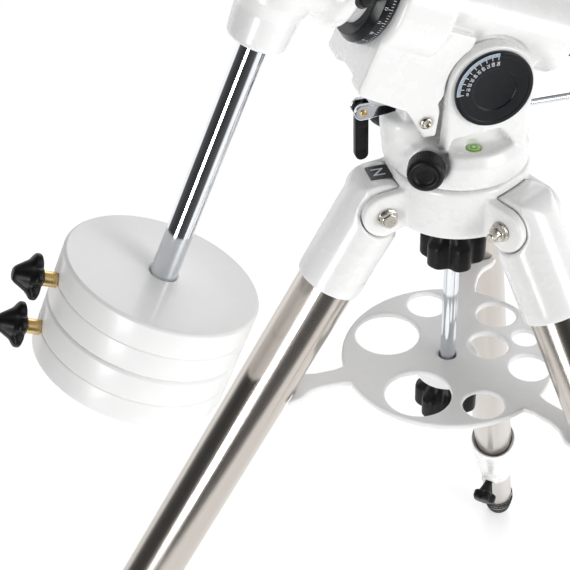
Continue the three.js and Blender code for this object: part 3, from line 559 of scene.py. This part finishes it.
def folding_handle(end, level):
    outline = arc(0, 0, 4.4, 180, 0, 12) + [(4.9, -9)] + arc(0, -35.5, 4.9, 0, -180, 14) + [(-4.9, -9)]

    def shape(x, y, z):
        bar = prism(y - end, z - level, x, outline, -3.1, 3.1)
        panel = prism(y - end, z - level, np.abs(x), PANEL, 2.6, 9)
        return cut(bar, rod(y - end, z - level, x, 2.5, -9, 9), panel)
    return shape


# ---------------------------------------------------------------- polar and declination housings
def polar_housing(x, y, z):
    up_y, up_z = swing(y, z, -ALTITUDE)
    axis_z = z - RA_OFFSET
    tube = lathe(x, axis_z, y, [(0, -52), (26, -52), (28, -50), (28, 112), (0, 112)])
    gear_case = lathe(x, axis_z, y, [(0, 50), (42, 50), (45, 53), (45, 88), (42, 91), (0, 91)])
    keel = prism(y, z, x, [(26, 10), (31, -20), (42, -32.5), (50.5, -33.1), (88.5, -30), (91, -27), (91, 30),
                            (26, 30)], -36, 36)
    lug = [(59.9, -9.6), (47.8, -31.8), (38.9, -32.9), (36.3, -14), (38, -5)]
    lugs = prism(up_y, up_z, np.abs(x), lug, 26, 36)
    block = prism(y, z, x, [(-33, 38), (-30, 0), (-18, -16.5), (34, -16.5), (46, 38)], -25.5, 25.5)
    push = brick(x, up_y, up_z, (-9, 9), (-8, 8), (-44.5, -10))
    room = [(0, -70), (38, -60), (35, -14)] + arc(0, 0, 33.5, 0, 180, 24) + [(-50, -70)]
    rooms = prism(up_y, up_z, np.abs(x), room, 25.6, 60)
    channel = brick(x, y, z, (-17, 17), (22, 100), (-60, -24))
    body = cut(join(tube, gear_case, keel, block), rooms, channel)
    body = join(body, lugs, push, rod(y, z, x, 16, -38, 38))
    return cut(body, rod(x, axis_z, y, 14.3, -80, 130), rod(x, axis_z, y, 39, 56, 80),
               rod(y - GEAR_PLACE, z + 8.3, x, 5.6, -30, 60))


def dec_housing(x, y, z):
    flange = lathe(x, z, y, [(0, -45.5), (30, -45.5), (34, -42), (34, -34), (29, -26), (29, 0), (0, 0)])
    nose = lathe(x, z, y, [(0, 0), (24, 0), (24, 36), (22, 38), (0, 38)])
    tube = lathe(x, y, z, [(0, -58), (19, -58), (21, -56), (23, -34), (27, -24), (27, 70), (0, 70)])
    gear_case = lathe(x, y, z, [(0, 22), (31, 22), (34, 25), (34, 51), (31, 54), (0, 54)])
    worm_x, worm_z = x - DEC_WORM_X, z - DEC_WORM_Z
    worm_case = rod(worm_x, worm_z, y, 11, -24, 24)
    return cut(join(flange, nose, tube, gear_case, worm_case),
               rod(x, y, z, 11.3, -19, 90), rod(x, y, z, 10.3, -70, -18), rod(x, z, y, 9, -60, 60),
               rod(x, z, y, 13.3, -50, -24), rod(x, z, y, 18.3, 30, 50), rod(x, y, z, 28, 28, 48),
               rod(worm_x, worm_z, y, 5.6, -40, 20), rod(y, worm_z, x, 3.8, -40, -20))


def saddle(x, y, z):
    block = prism(y, z, x, [(-50, 86.3), (50, 86.3), (50, 104), (46, 114), (-46, 114), (-50, 104)], -31, 31)
    slot = prism(x, z, y, [(-23.65, 99.4), (24, 99.4), (24, 130), (-16, 130)], -70, 70)
    pad = brick(x, y, z, (-14, 20), (-50, 50), (98.4, 100))
    waist = rod(np.abs(x) - 41, y, z, 14, 80, 99)
    screws = rod(np.abs(y) - SADDLE_SCREW_Y, z - SADDLE_SCREW_Z, x, 3.3, 20, 40)
    return cut(join(cut(block, slot), pad), waist, screws)


def lever(length):
    def shape(x, y, z):
        hub = rod(x, y, z, 6, 0, 9)
        arm = brick(x, y, z, (-3.5, 3.5), (0, length), (3, 8))
        return join(hub, arm, rod(x, y - length, z, 4.5, 2, 10), rod(x, y, z, 3.5, -6, 1))
    return shape


def add_castings():
    leg = skin("leg_casting", leg_casting, (-28, -28, -80), (28, 28, 28), 0.8)
    collar = skin("clamp_collar", clamp_collar, (-30, -32, -921), (30, 30, -767), 0.9, 3)
    rubber = skin("rubber_foot", foot, (-24, -24, -1106), (24, 24, -1031), 0.8, 2)
    bolt = skin("hinge_bolt", hinge_bolt, (-33, -9, -9), (39, 9, 9), 0.35, 2)
    for direction in LEGS:
        place = leg_frame(direction)
        stand_for("leg_casting_" + direction, leg.copy(), place)
        stand_for("clamp_collar_" + direction, collar.copy(), place)
        stand_for("rubber_foot_" + direction, rubber.copy(), place)
        stand_for("hinge_bolt_" + direction, bolt.copy(), sector(direction) @ at(0, HINGE_Y, HINGE_Z))
    stand_for("tripod_head", skin("head", tripod_head, (-85, -85, 137), (85, 85, 213), 0.9), STAND)
    stand_for("accessory_tray", skin("tray", tray, (-128, -128, -20), (128, 146, 2), 0.9, 2), STAND)
    stand_for("azimuth_base", skin("base", azimuth_base, (-54, -54, 187), (54, 63, 297), 0.8), STAND)
    stand_for("polar_housing", skin("polar", polar_housing, (-48, -56, -48), (48, 115, 83), 0.8, 3), ALT)
    stand_for("dec_housing", skin("dec", dec_housing, (-37, -48, -61), (46, 41, 73), 0.8), DEC)
    stand_for("saddle", skin("saddle", saddle, (-34, -53, 83), (34, 53, 117), 0.7, 3), DEC)


def add_altitude_screws():
    for name, radius, tip, end, level, neck in (("north", 4, 0.9, 73.2, NORTH_BOLT_Z, 24),
                                                ("south", 3.25, -16.8, -99, SOUTH_BOLT_Z, 11)):
        low, high = sorted((tip, end + math.copysign(8, end)))
        bolt = skin("bolt", altitude_bolt(radius, tip, end, level, neck), (-9, low - 2, level - 10),
                    (9, high + 2, level + 10), 0.4, 1)
        stand_for("altitude_bolt_" + name, bolt, STAND)
        handle = skin("handle", folding_handle(end, level), (-5, end - 7, level - 43),
                      (5, end + 7, level + 7), 0.4, 2)
        stand_for("altitude_handle_" + name, handle, STAND)
        rivet = turned("rivet", [(0, -7.7), (1.8, -7.5), (2.6, -7.0), (2.6, -6.5), (2.2, -6.4), (2.2, 6.4),
                                 (2.6, 6.5), (2.6, 7.0), (1.8, 7.5), (0, 7.7)], 0.3, 32)
        trim("altitude_rivet_" + name, rivet, STAND @ at(0, end, level) @ ALONG_X,
             "altitude_bolt_" + name, BRASS)


def add_levers():
    ra_lever = skin("lever", lever(24), (-8, -8, -7), (8, 31, 12), 0.5, 3)
    place = DEC @ turn(math.radians(-55), "Y") @ at(0, -38, 34.4) @ turn(math.pi / 2, "Z")
    stand_for("ra_clutch_lever", ra_lever, place)
    dec_lever = skin("lever", lever(22), (-8, -8, -7), (8, 29, 12), 0.5, 3)
    place = DEC @ at(-34.4, 0, 38) @ turn(-math.pi / 2, "Z") @ AGAINST_Y @ turn(math.pi, "Z")
    stand_for("dec_clutch_lever", dec_lever, place)


# ---------------------------------------------------------------- tubes, rods and knobs
def add_tubes_and_knobs():
    clamp_line = [(0, -23), (4, -23), (4, -14), (4.8, -14), (9.5, 0), (12, 0), (15, 2), (15, 9.5), (12.4, 12),
                  (7, 12.8), (0, 13)]
    for direction in LEGS:
        place = leg_frame(direction)
        upper = [(20.75, -849.7), (22.25, -849.7), (22.25, -41), (20.75, -41)]
        stand_for("upper_tube_" + direction, turned("tube", upper, 0.3, closed=True), place)
        lower = [(17.5, -1062), (19, -1062), (19, -440), (17.5, -440)]
        stand_for("lower_tube_" + direction, turned("tube", lower, 0.3, closed=True), place)
        knob = turned("clamp_knob", clamp_line, 1.4, 120, lobes(5, 4, 15))
        knob_place = place @ turn(CLAMP_TURN, "Z") @ at(0, -43, CLAMP_Z) @ AGAINST_Y
        stand_for("clamp_knob_" + direction, knob, knob_place)

    rod_line = [(0, -48), (5, -48), (6, -47), (6, 204), (5, 205), (0, 205)]
    stand_for("centre_rod", turned("rod", rod_line, 0.3), STAND)
    big = [(6.3, 0), (20, 0), (25, 2.5), (25, 21), (21, 24), (19.5, 27), (12, 50), (6.3, 50)]
    stand_for("head_knob", turned("knob", big, 2.2, 144, lobes(6, 6, 25), True), STAND @ at(0, 0, 96.5))
    small = [(0, 0), (20, 0), (25, 2.5), (25, 20), (21, 23), (18, 25.5), (12, 37.5), (6.3, 37.5), (6.3, 6),
             (0, 6)]
    stand_for("tray_knob", turned("knob", small, 2.2, 144, lobes(6, 6, 25)), STAND @ at(0, 0, -56))

    azimuth_line = [(0, 1.6), (6.2, 1.6), (8, -0.2), (10.4, -0.4), (12.6, 1.2), (13.2, 3.5), (13.2, 13),
                    (11.8, 15.5), (7, 16), (7, 21.5), (3.5, 21.5), (3.5, 49.5), (0, 49.5)]
    for side, name in ((-1, "west"), (1, "east")):
        inwards = turn(side * SCREW_ANGLE, "Z") @ turn(-side * math.pi / 2, "Y")
        knob = turned("knob", azimuth_line, 1.1, 160, knurl(40, 0.35, 12.8))
        stand_for("azimuth_knob_" + name, knob, STAND @ at(side * SCREW_X, SCREW_Y, SCREW_Z) @ inwards)

    saddle_line = [(0, -18), (3, -18), (3, -5), (6, -5), (7.2, 0), (10.4, 0), (13, 2), (13, 9), (10.66, 12),
                   (5.85, 12.75), (0, 13.5)]
    for name, y in (("front", SADDLE_SCREW_Y), ("rear", -SADDLE_SCREW_Y)):
        knob = turned("saddle_knob", saddle_line, 1.6, 120, lobes(6, 3, 13))
        stand_for("saddle_knob_" + name, knob, DEC @ at(40, y, SADDLE_SCREW_Z) @ ALONG_X)

    slow = [(0, -4.1), (7, -4), (7, 0), (12, 0), (14, 2), (14, 16), (12, 18), (0, 18.4)]
    stand_for("ra_slow_motion_knob", turned("knob", slow, 0.9, 160, knurl(32, 0.8, 13.5)),
              POLAR @ at(52.6, GEAR_PLACE, -43.3) @ ALONG_X)
    slow = [(0, -2.1), (6.5, -2), (6.5, 0), (11, 0), (13, 2), (13, 13), (11, 15), (0, 15.4)]
    stand_for("dec_slow_motion_knob", turned("knob", slow, 0.9, 160, knurl(30, 0.8, 12.5)),
              DEC @ at(DEC_WORM_X, -29.6, DEC_WORM_Z) @ AGAINST_Y)


# ---------------------------------------------------------------- axes, weights and bar
def add_axes():
    scope = [(0, -66), (6.8, -66), (7, -72), (13, -72), (13, -58), (11, -55), (11, -50), (13.6, -50),
             (13.6, -30), (0, -30)]
    stand_for("polar_scope", turned("scope", scope, 0.7, 160, knurl(48, 0.4, 12.6)), POLAR @ ALONG_Y)
    cap = [(0, 30.6), (18, 30.6), (18, 38), (22.5, 38.4), (22.5, 43), (20.5, 45), (16, 45), (15.5, 44.4),
           (0, 44.4)]
    stand_for("polar_cap", turned("cap", cap, 0.8, 160, knurl(60, 0.3, 22.0)), DEC @ ALONG_Y)
    hollow = [(8.5, -186), (13, -186), (13, -24.3), (8.5, -24.3)]
    stand_for("ra_shaft", turned("shaft", hollow, 0.3, closed=True), DEC @ ALONG_Y)
    bar = [(0, -350), (9, -350), (10, -349), (10, -21), (9, -20), (0, -20)]
    stand_for("counterweight_bar", turned("bar", bar, 0.5), DEC)
    toe = [(0, -353), (14, -353), (15.5, -351), (15.5, -342), (14, -341), (10.3, -341), (10.3, -350.2),
           (0, -350.2)]
    stand_for("toe_saver_cap", turned("toe", toe, 0.8, 160, knurl(36, 0.5, 15.2)), DEC)


def add_weights():
    knob_line = [(0, -73.5), (4, -73.5), (4, -2), (7, -2), (7.4, 0), (13, 0), (17, 1.8), (17, 5.5),
                 (14.5, 7.5), (12, 9), (9, 13.5), (6.4, 17.5), (4.6, 19.4), (0, 20)]
    sleeve_line = [(4.2, -12.2), (5.6, -12.2), (5.6, -2.2), (4.2, -2.2)]
    for name, top in WEIGHT_TOPS.items():
        low = top - WEIGHT_HEIGHT
        groove = [(74, top - 22), (73.3, top - 21.5), (73.3, top - 20.5), (74, top - 20)]
        line = [(10.3, low), (72.4, low), (74, low + 1.6), *groove, (74, top - 1.8), (72.2, top),
                (11.6, top), (10.3, top - 1.3)]
        stand_for("counterweight_" + name, turned("weight", line, 0.7, 256, closed=True), DEC)
        place = DEC @ at(0, 86.5, top - WEIGHT_HEIGHT / 2) @ ALONG_Y
        knob = turned("weight_knob", knob_line, 1.2, 150, lobes(5, 4.5, 17))
        stand_for("weight_knob_" + name, knob, place)
        sleeve = turned("sleeve", sleeve_line, 0.3, 48, closed=True)
        trim("weight_screw_" + name, sleeve, place, "weight_knob_" + name, BRASS)


# ---------------------------------------------------------------- scales, level and plate
def strip(boxes):
    """One mesh of small flat blocks, each given as (low corner, high corner, transform)."""
    verts, faces = [], []
    for low, high, place in boxes:
        start = len(verts)
        for x in (low[0], high[0]):
            for y in (low[1], high[1]):
                for z in (low[2], high[2]):
                    verts.append(place @ Vector((x / 1000, y / 1000, z / 1000)))
        for face in ((0, 1, 3, 2), (4, 6, 7, 5), (0, 4, 5, 1), (2, 3, 7, 6), (0, 2, 6, 4), (1, 5, 7, 3)):
            faces.append([start + i for i in face])
    mesh = bpy.data.meshes.new("marks")
    mesh.from_pydata(verts, [], faces)
    mesh.update()
    return mesh


LETTER_RELIEF = 0.00004   # metres
TEXT_SIZE = 1.4           # a label's font size over the height of its figures


def lettering(labels):
    """One mesh of printed labels, each (text, height in mm, transform), facing +Z of its transform."""
    collected = []
    for text, height, place in labels:
        curve = bpy.data.curves.new("label", "FONT")
        curve.body = text
        curve.size = height / 1000 * TEXT_SIZE
        curve.align_x = "CENTER"
        curve.align_y = "CENTER"
        curve.extrude = LETTER_RELIEF
        holder = bpy.data.objects.new("label", curve)
        bpy.context.scene.collection.objects.link(holder)
        bpy.context.view_layer.update()
        evaluated = holder.evaluated_get(bpy.context.evaluated_depsgraph_get())
        flat = bpy.data.meshes.new_from_object(evaluated)
        flat.transform(place)
        collected.append(flat)
        bpy.data.objects.remove(holder)
        bpy.data.curves.remove(curve)
    verts, faces = [], []
    for flat in collected:
        start = len(verts)
        verts += [v.co[:] for v in flat.vertices]
        faces += [[start + i for i in face.vertices] for face in flat.polygons]
        bpy.data.meshes.remove(flat)
    mesh = bpy.data.meshes.new("lettering")
    mesh.from_pydata(verts, [], faces)
    mesh.update()
    return mesh


LATITUDE_ZERO = math.radians(114.5)
LATITUDE_STEP = math.radians(1.05)


def add_latitude_scale():
    """The cover of the altitude pivot, with a pale band, a fine tick every 2 degrees and a label every 10."""
    cover = [(0, 0), (28, 0), (28, 2.4), (27.5, 3.1), (24.7, 3.1), (24.4, 2.9), (15.9, 2.9), (15.4, 2.3),
             (0, 2.3)]
    place = ALT @ at(-38.3, 0, 0) @ AGAINST_X
    stand_for("latitude_cover", turned("cover", cover, 0.4, 128), place)
    face = place @ at(0, 0, 2.95)
    band, ticks, fine, labels = [], [], [], []
    for degrees in range(0, 91, 2):
        spin = face @ turn(LATITUDE_ZERO - LATITUDE_STEP * degrees, "Z")
        band.append(((24.8, -0.51, 0.1), (27.3, 0.51, 0.3), spin))
        fine.append(((25.1, -0.11, 0.25), (27.0, 0.11, 0.38), spin))
        if degrees % 10 == 0:
            ticks.append(((22.3, -0.2, 0), (24.6, 0.2, 0.12), spin))
            labels.append((str(degrees), 2.3, spin @ at(19.6, 0, 0.05) @ turn(math.pi, "Z")))
    trim("latitude_band", strip(band), AS_DRAWN, "latitude_cover", BAND)
    trim("latitude_fine_ticks", strip(fine), AS_DRAWN, "latitude_cover", PLATE)
    trim("latitude_ticks", strip(ticks), AS_DRAWN, "latitude_cover", MARKS)
    trim("latitude_numbers", lettering(labels), AS_DRAWN, "latitude_cover", MARKS)


def add_setting_circle(name, place, line, radius, low, numbers, divisions, value):
    """A ring with numbers round its rim, which stands at a radius above low, and ticks between them."""
    stand_for(name + "_setting_circle", turned("circle", line, 0.4, 144, closed=True), place)
    ticks, labels = [], []
    for i in range(numbers * divisions):
        spin = place @ turn(2 * math.pi * i / (numbers * divisions), "Z")
        reach = 3.2 if i % divisions == 0 else 1.8
        ticks.append(((radius - 0.1, -0.14, low + 0.6), (radius + 0.08, 0.14, low + 0.6 + reach), spin))
    for i in range(numbers):
        spin = place @ turn(2 * math.pi * i / numbers, "Z") @ at(radius + 0.02, 0, low + 5.3)
        labels.append((str(value(i)), 2.0, spin @ turn(math.pi / 2, "Z") @ AGAINST_Y))
    trim(name + "_circle_ticks", strip(ticks), AS_DRAWN, name + "_setting_circle", MARKS)
    trim(name + "_circle_numbers", lettering(labels), AS_DRAWN, name + "_setting_circle", MARKS)


def add_setting_circles():
    """Hours round the polar axis, and 0 to 90 degrees four times round the declination axis."""
    ra_line = [(28.3, 93), (39, 93), (40, 94), (40, 101), (36, 106), (28.3, 106)]
    add_setting_circle("ra", POLAR @ ALONG_Y, ra_line, 40, 94, 24, 5, lambda i: i)
    dec_line = [(27.3, 56), (37, 56), (37.5, 57), (37.5, 62), (34, 67), (27.3, 67)]
    add_setting_circle("dec", DEC, dec_line, 37.5, 56.8, 36, 2, lambda i: min(i % 18, 18 - i % 18) * 10)


def add_level():
    level = STAND @ at(LEVEL_X, LEVEL_Y, 215)
    vial = [(0, -2.7), (5.0, -2.7), (5.0, -0.9), (4.4, -0.4), (2.4, -0.1), (0, 0)]
    stand_for("bubble_level", turned("vial", vial, 0.8, 64), level)
    ring = turned("ring", [(2.1, -0.2), (2.4, -0.24), (2.4, 0.04), (2.1, 0.06)], 0.05, 64, closed=True)
    trim("level_ring", ring, level, "bubble_level", PLATE)
    bubble = turned("bubble", [(0, -0.1), (1.5, -0.1), (1.3, 0.15), (0.7, 0.3), (0, 0.35)], 0.1, 48)
    trim("level_bubble", bubble, level @ at(0.3, 0.2, 0), "bubble_level", BUBBLE)


def add_north_plate():
    place = STAND @ at(0.9, 59.5, 184)
    half_u, half_v, corner, low, high = 7, 6.8, 1.5, -0.2, 0.5
    outline = []
    for su, sv, start in ((1, 1, 0), (-1, 1, 90), (-1, -1, 180), (1, -1, 270)):
        outline += arc(su * half_u, sv * half_v, corner, start, start + 90, 5)
    verts = [(u / 1000, v / 1000, h / 1000) for h in (low, high) for u, v in outline]
    count = len(outline)
    faces = [[i, (i + 1) % count, count + (i + 1) % count, count + i] for i in range(count)]
    faces += [list(range(count))[::-1], [count + i for i in range(count)]]
    plate = bpy.data.meshes.new("plate")
    plate.from_pydata(verts, [], faces)
    plate.update()
    trim("north_plate", plate, place, "leg_casting_north", PLATE)
    letter = lettering([("N", 9.5, place @ at(0, 0, high + 0.02))])
    trim("north_letter", letter, AS_DRAWN, "leg_casting_north", MARKS)


def add_lug_screws():
    line = [(0, -2), (4.6, -2), (4.6, 1.4), (3.6, 2.4), (2.5, 2.5), (2.3, 0.8), (0, 0.8)]
    for name, x, outwards in (("west", -36, AGAINST_X), ("east", 36, ALONG_X)):
        trim("lug_screw_" + name, turned("screw", line, 0.4, 48), STAND @ at(x, 38.4, 243) @ outwards,
             "polar_housing", MATERIAL["nickel_steel"])


# ---------------------------------------------------------------- stage, light and camera
FLOOR_LOW, FLOOR_HIGH = (-1.2, -2.9), (4.2, 1.4)
FLOOR_ROWS = 12
FLOOR_DROP = 0.0002
FLOOR_GLOW = 0.5


def add_stage():
    """A paper floor, which ends just behind the camera, so that the tubes mirror the dark field there."""
    corners = range(FLOOR_ROWS + 1)
    steps = [(high - low) / FLOOR_ROWS for low, high in zip(FLOOR_LOW, FLOOR_HIGH)]
    verts = [(FLOOR_LOW[0] + steps[0] * i, FLOOR_LOW[1] + steps[1] * j, -FLOOR_DROP)
             for i in corners for j in corners]
    row = FLOOR_ROWS + 1
    faces = [[i * row + j, (i + 1) * row + j, (i + 1) * row + j + 1, i * row + j + 1]
             for i in range(FLOOR_ROWS) for j in range(FLOOR_ROWS)]
    mesh = bpy.data.meshes.new("floor")
    mesh.from_pydata(verts, [], faces)
    floor = bpy.data.objects.new("floor", mesh)
    bpy.context.scene.collection.objects.link(floor)
    paper = finish("floor_paper", (0.87, 0.87, 0.87), (0.885, 0.885, 0.885), (0.75, 0.85), 60, 0.02)
    shader = paper.node_tree.nodes["Principled BSDF"]
    shader.inputs["Emission Color"].default_value = (1, 1, 1, 1)
    shader.inputs["Emission Strength"].default_value = FLOOR_GLOW
    mesh.materials.append(paper)


# Each lamp's name, place and target in metres, size in metres and power in watts.
LAMPS = [("key", (-2.0, -1.8, 1.4), (0, 0, 0.95), (1.3, 1.3), 27),
         ("fill", (-1.88, 2.16, 0.95), (0, 0, 0.95), (0.8, 1.8), 50),
         ("rim", (2.4, -1.2, 2.6), (0, 0, 1.0), (1.2, 1.6), 12)]


def add_lamps():
    for name, place, target, size, power in LAMPS:
        lamp = bpy.data.lights.new(name, "AREA")
        lamp.shape = "RECTANGLE"
        lamp.size, lamp.size_y = size
        lamp.energy = power
        holder = bpy.data.objects.new(name, lamp)
        bpy.context.scene.collection.objects.link(holder)
        holder.location = place
        holder.rotation_euler = (Vector(target) - Vector(place)).to_track_quat("-Z", "Y").to_euler()


# The room's brightness by two measures of a ray, each from 0 to 1: how far it points up, and how far it
# points to the dark field, which is behind the camera and to its left. The first two stops are a ramp's
# ends, and the others stand between them.
UP = (0, 0, 1)
BY_HEIGHT = [(0.0, 1.25), (1.0, 0.39), (0.35, 1.0), (0.7, 0.49)]
DARK_SIDE = (-0.57, 0.82, 0.0)
BY_SIDE = [(0.0, 1.0), (1.0, 0.03), (0.12, 1.0), (0.34, 0.1)]


def add_world():
    """A bright room, dimmer overhead, with a soft dark field that polished metal mirrors.

    The camera itself sees plain white.
    """
    world = bpy.data.worlds.new("studio")
    bpy.context.scene.world = world
    world.use_nodes = True
    tree = world.node_tree
    coords = tree.nodes.new("ShaderNodeTexCoord")

    def shade(direction, stops):
        facing = tree.nodes.new("ShaderNodeVectorMath")
        facing.operation = "DOT_PRODUCT"
        facing.inputs[1].default_value = direction
        ramp = tree.nodes.new("ShaderNodeValToRGB")
        tree.links.new(coords.outputs["Generated"], facing.inputs[0])
        tree.links.new(facing.outputs["Value"], ramp.inputs["Fac"])
        elements = ramp.color_ramp.elements
        for i, (position, value) in enumerate(stops):
            element = elements[i] if i < 2 else elements.new(position)
            element.position = position
            element.color = (value, value, value, 1)
        return ramp.outputs["Color"]

    height = shade(UP, BY_HEIGHT)
    field = shade(DARK_SIDE, BY_SIDE)
    product = tree.nodes.new("ShaderNodeMix")
    product.data_type = "RGBA"
    product.blend_type = "MULTIPLY"
    product.inputs["Factor"].default_value = 1.0
    tree.links.new(height, product.inputs["A"])
    tree.links.new(field, product.inputs["B"])
    plain = tree.nodes.new("ShaderNodeBackground")
    plain.inputs["Color"].default_value = (1.0, 1.0, 1.0, 1)
    path = tree.nodes.new("ShaderNodeLightPath")
    mix = tree.nodes.new("ShaderNodeMixShader")
    background = tree.nodes["Background"]
    tree.links.new(product.outputs["Result"], background.inputs["Color"])
    tree.links.new(path.outputs["Is Camera Ray"], mix.inputs["Fac"])
    tree.links.new(background.outputs["Background"], mix.inputs[1])
    tree.links.new(plain.outputs["Background"], mix.inputs[2])
    tree.links.new(mix.outputs["Shader"], tree.nodes["World Output"].inputs["Surface"])


CAMERA_PLACE = (-0.8384, 0.189, 1.5574)
CAMERA_FORWARD = (0.7695, -0.1908, -0.6095)
CAMERA_RIGHT = (-0.2407, -0.9706, 0)
CAMERA_ROLL = math.radians(-2.1425)
FOCAL_LENGTH, SENSOR_WIDTH = 92.5, 36
NEAREST_SEEN = 0.02


def add_camera():
    forward = Vector(CAMERA_FORWARD).normalized()
    right = Vector(CAMERA_RIGHT).normalized()
    up = right.cross(forward)
    level = math.cos(CAMERA_ROLL) * right + math.sin(CAMERA_ROLL) * up
    upright = level.cross(forward)
    camera = bpy.data.cameras.new("camera")
    camera.lens = FOCAL_LENGTH
    camera.sensor_width = SENSOR_WIDTH
    camera.clip_start = NEAREST_SEEN
    holder = bpy.data.objects.new("camera", camera)
    bpy.context.scene.collection.objects.link(holder)
    holder.matrix_world = Matrix.Translation(CAMERA_PLACE) @ Matrix(
        (level, upright, -forward)).transposed().to_4x4()
    bpy.context.scene.camera = holder
    bpy.context.scene.view_settings.view_transform = "Standard"


add_castings()
add_altitude_screws()
add_levers()
add_tubes_and_knobs()
add_axes()
add_weights()
add_latitude_scale()
add_setting_circles()
add_level()
add_north_plate()
add_lug_screws()
add_stage()
add_lamps()
add_world()
add_camera()
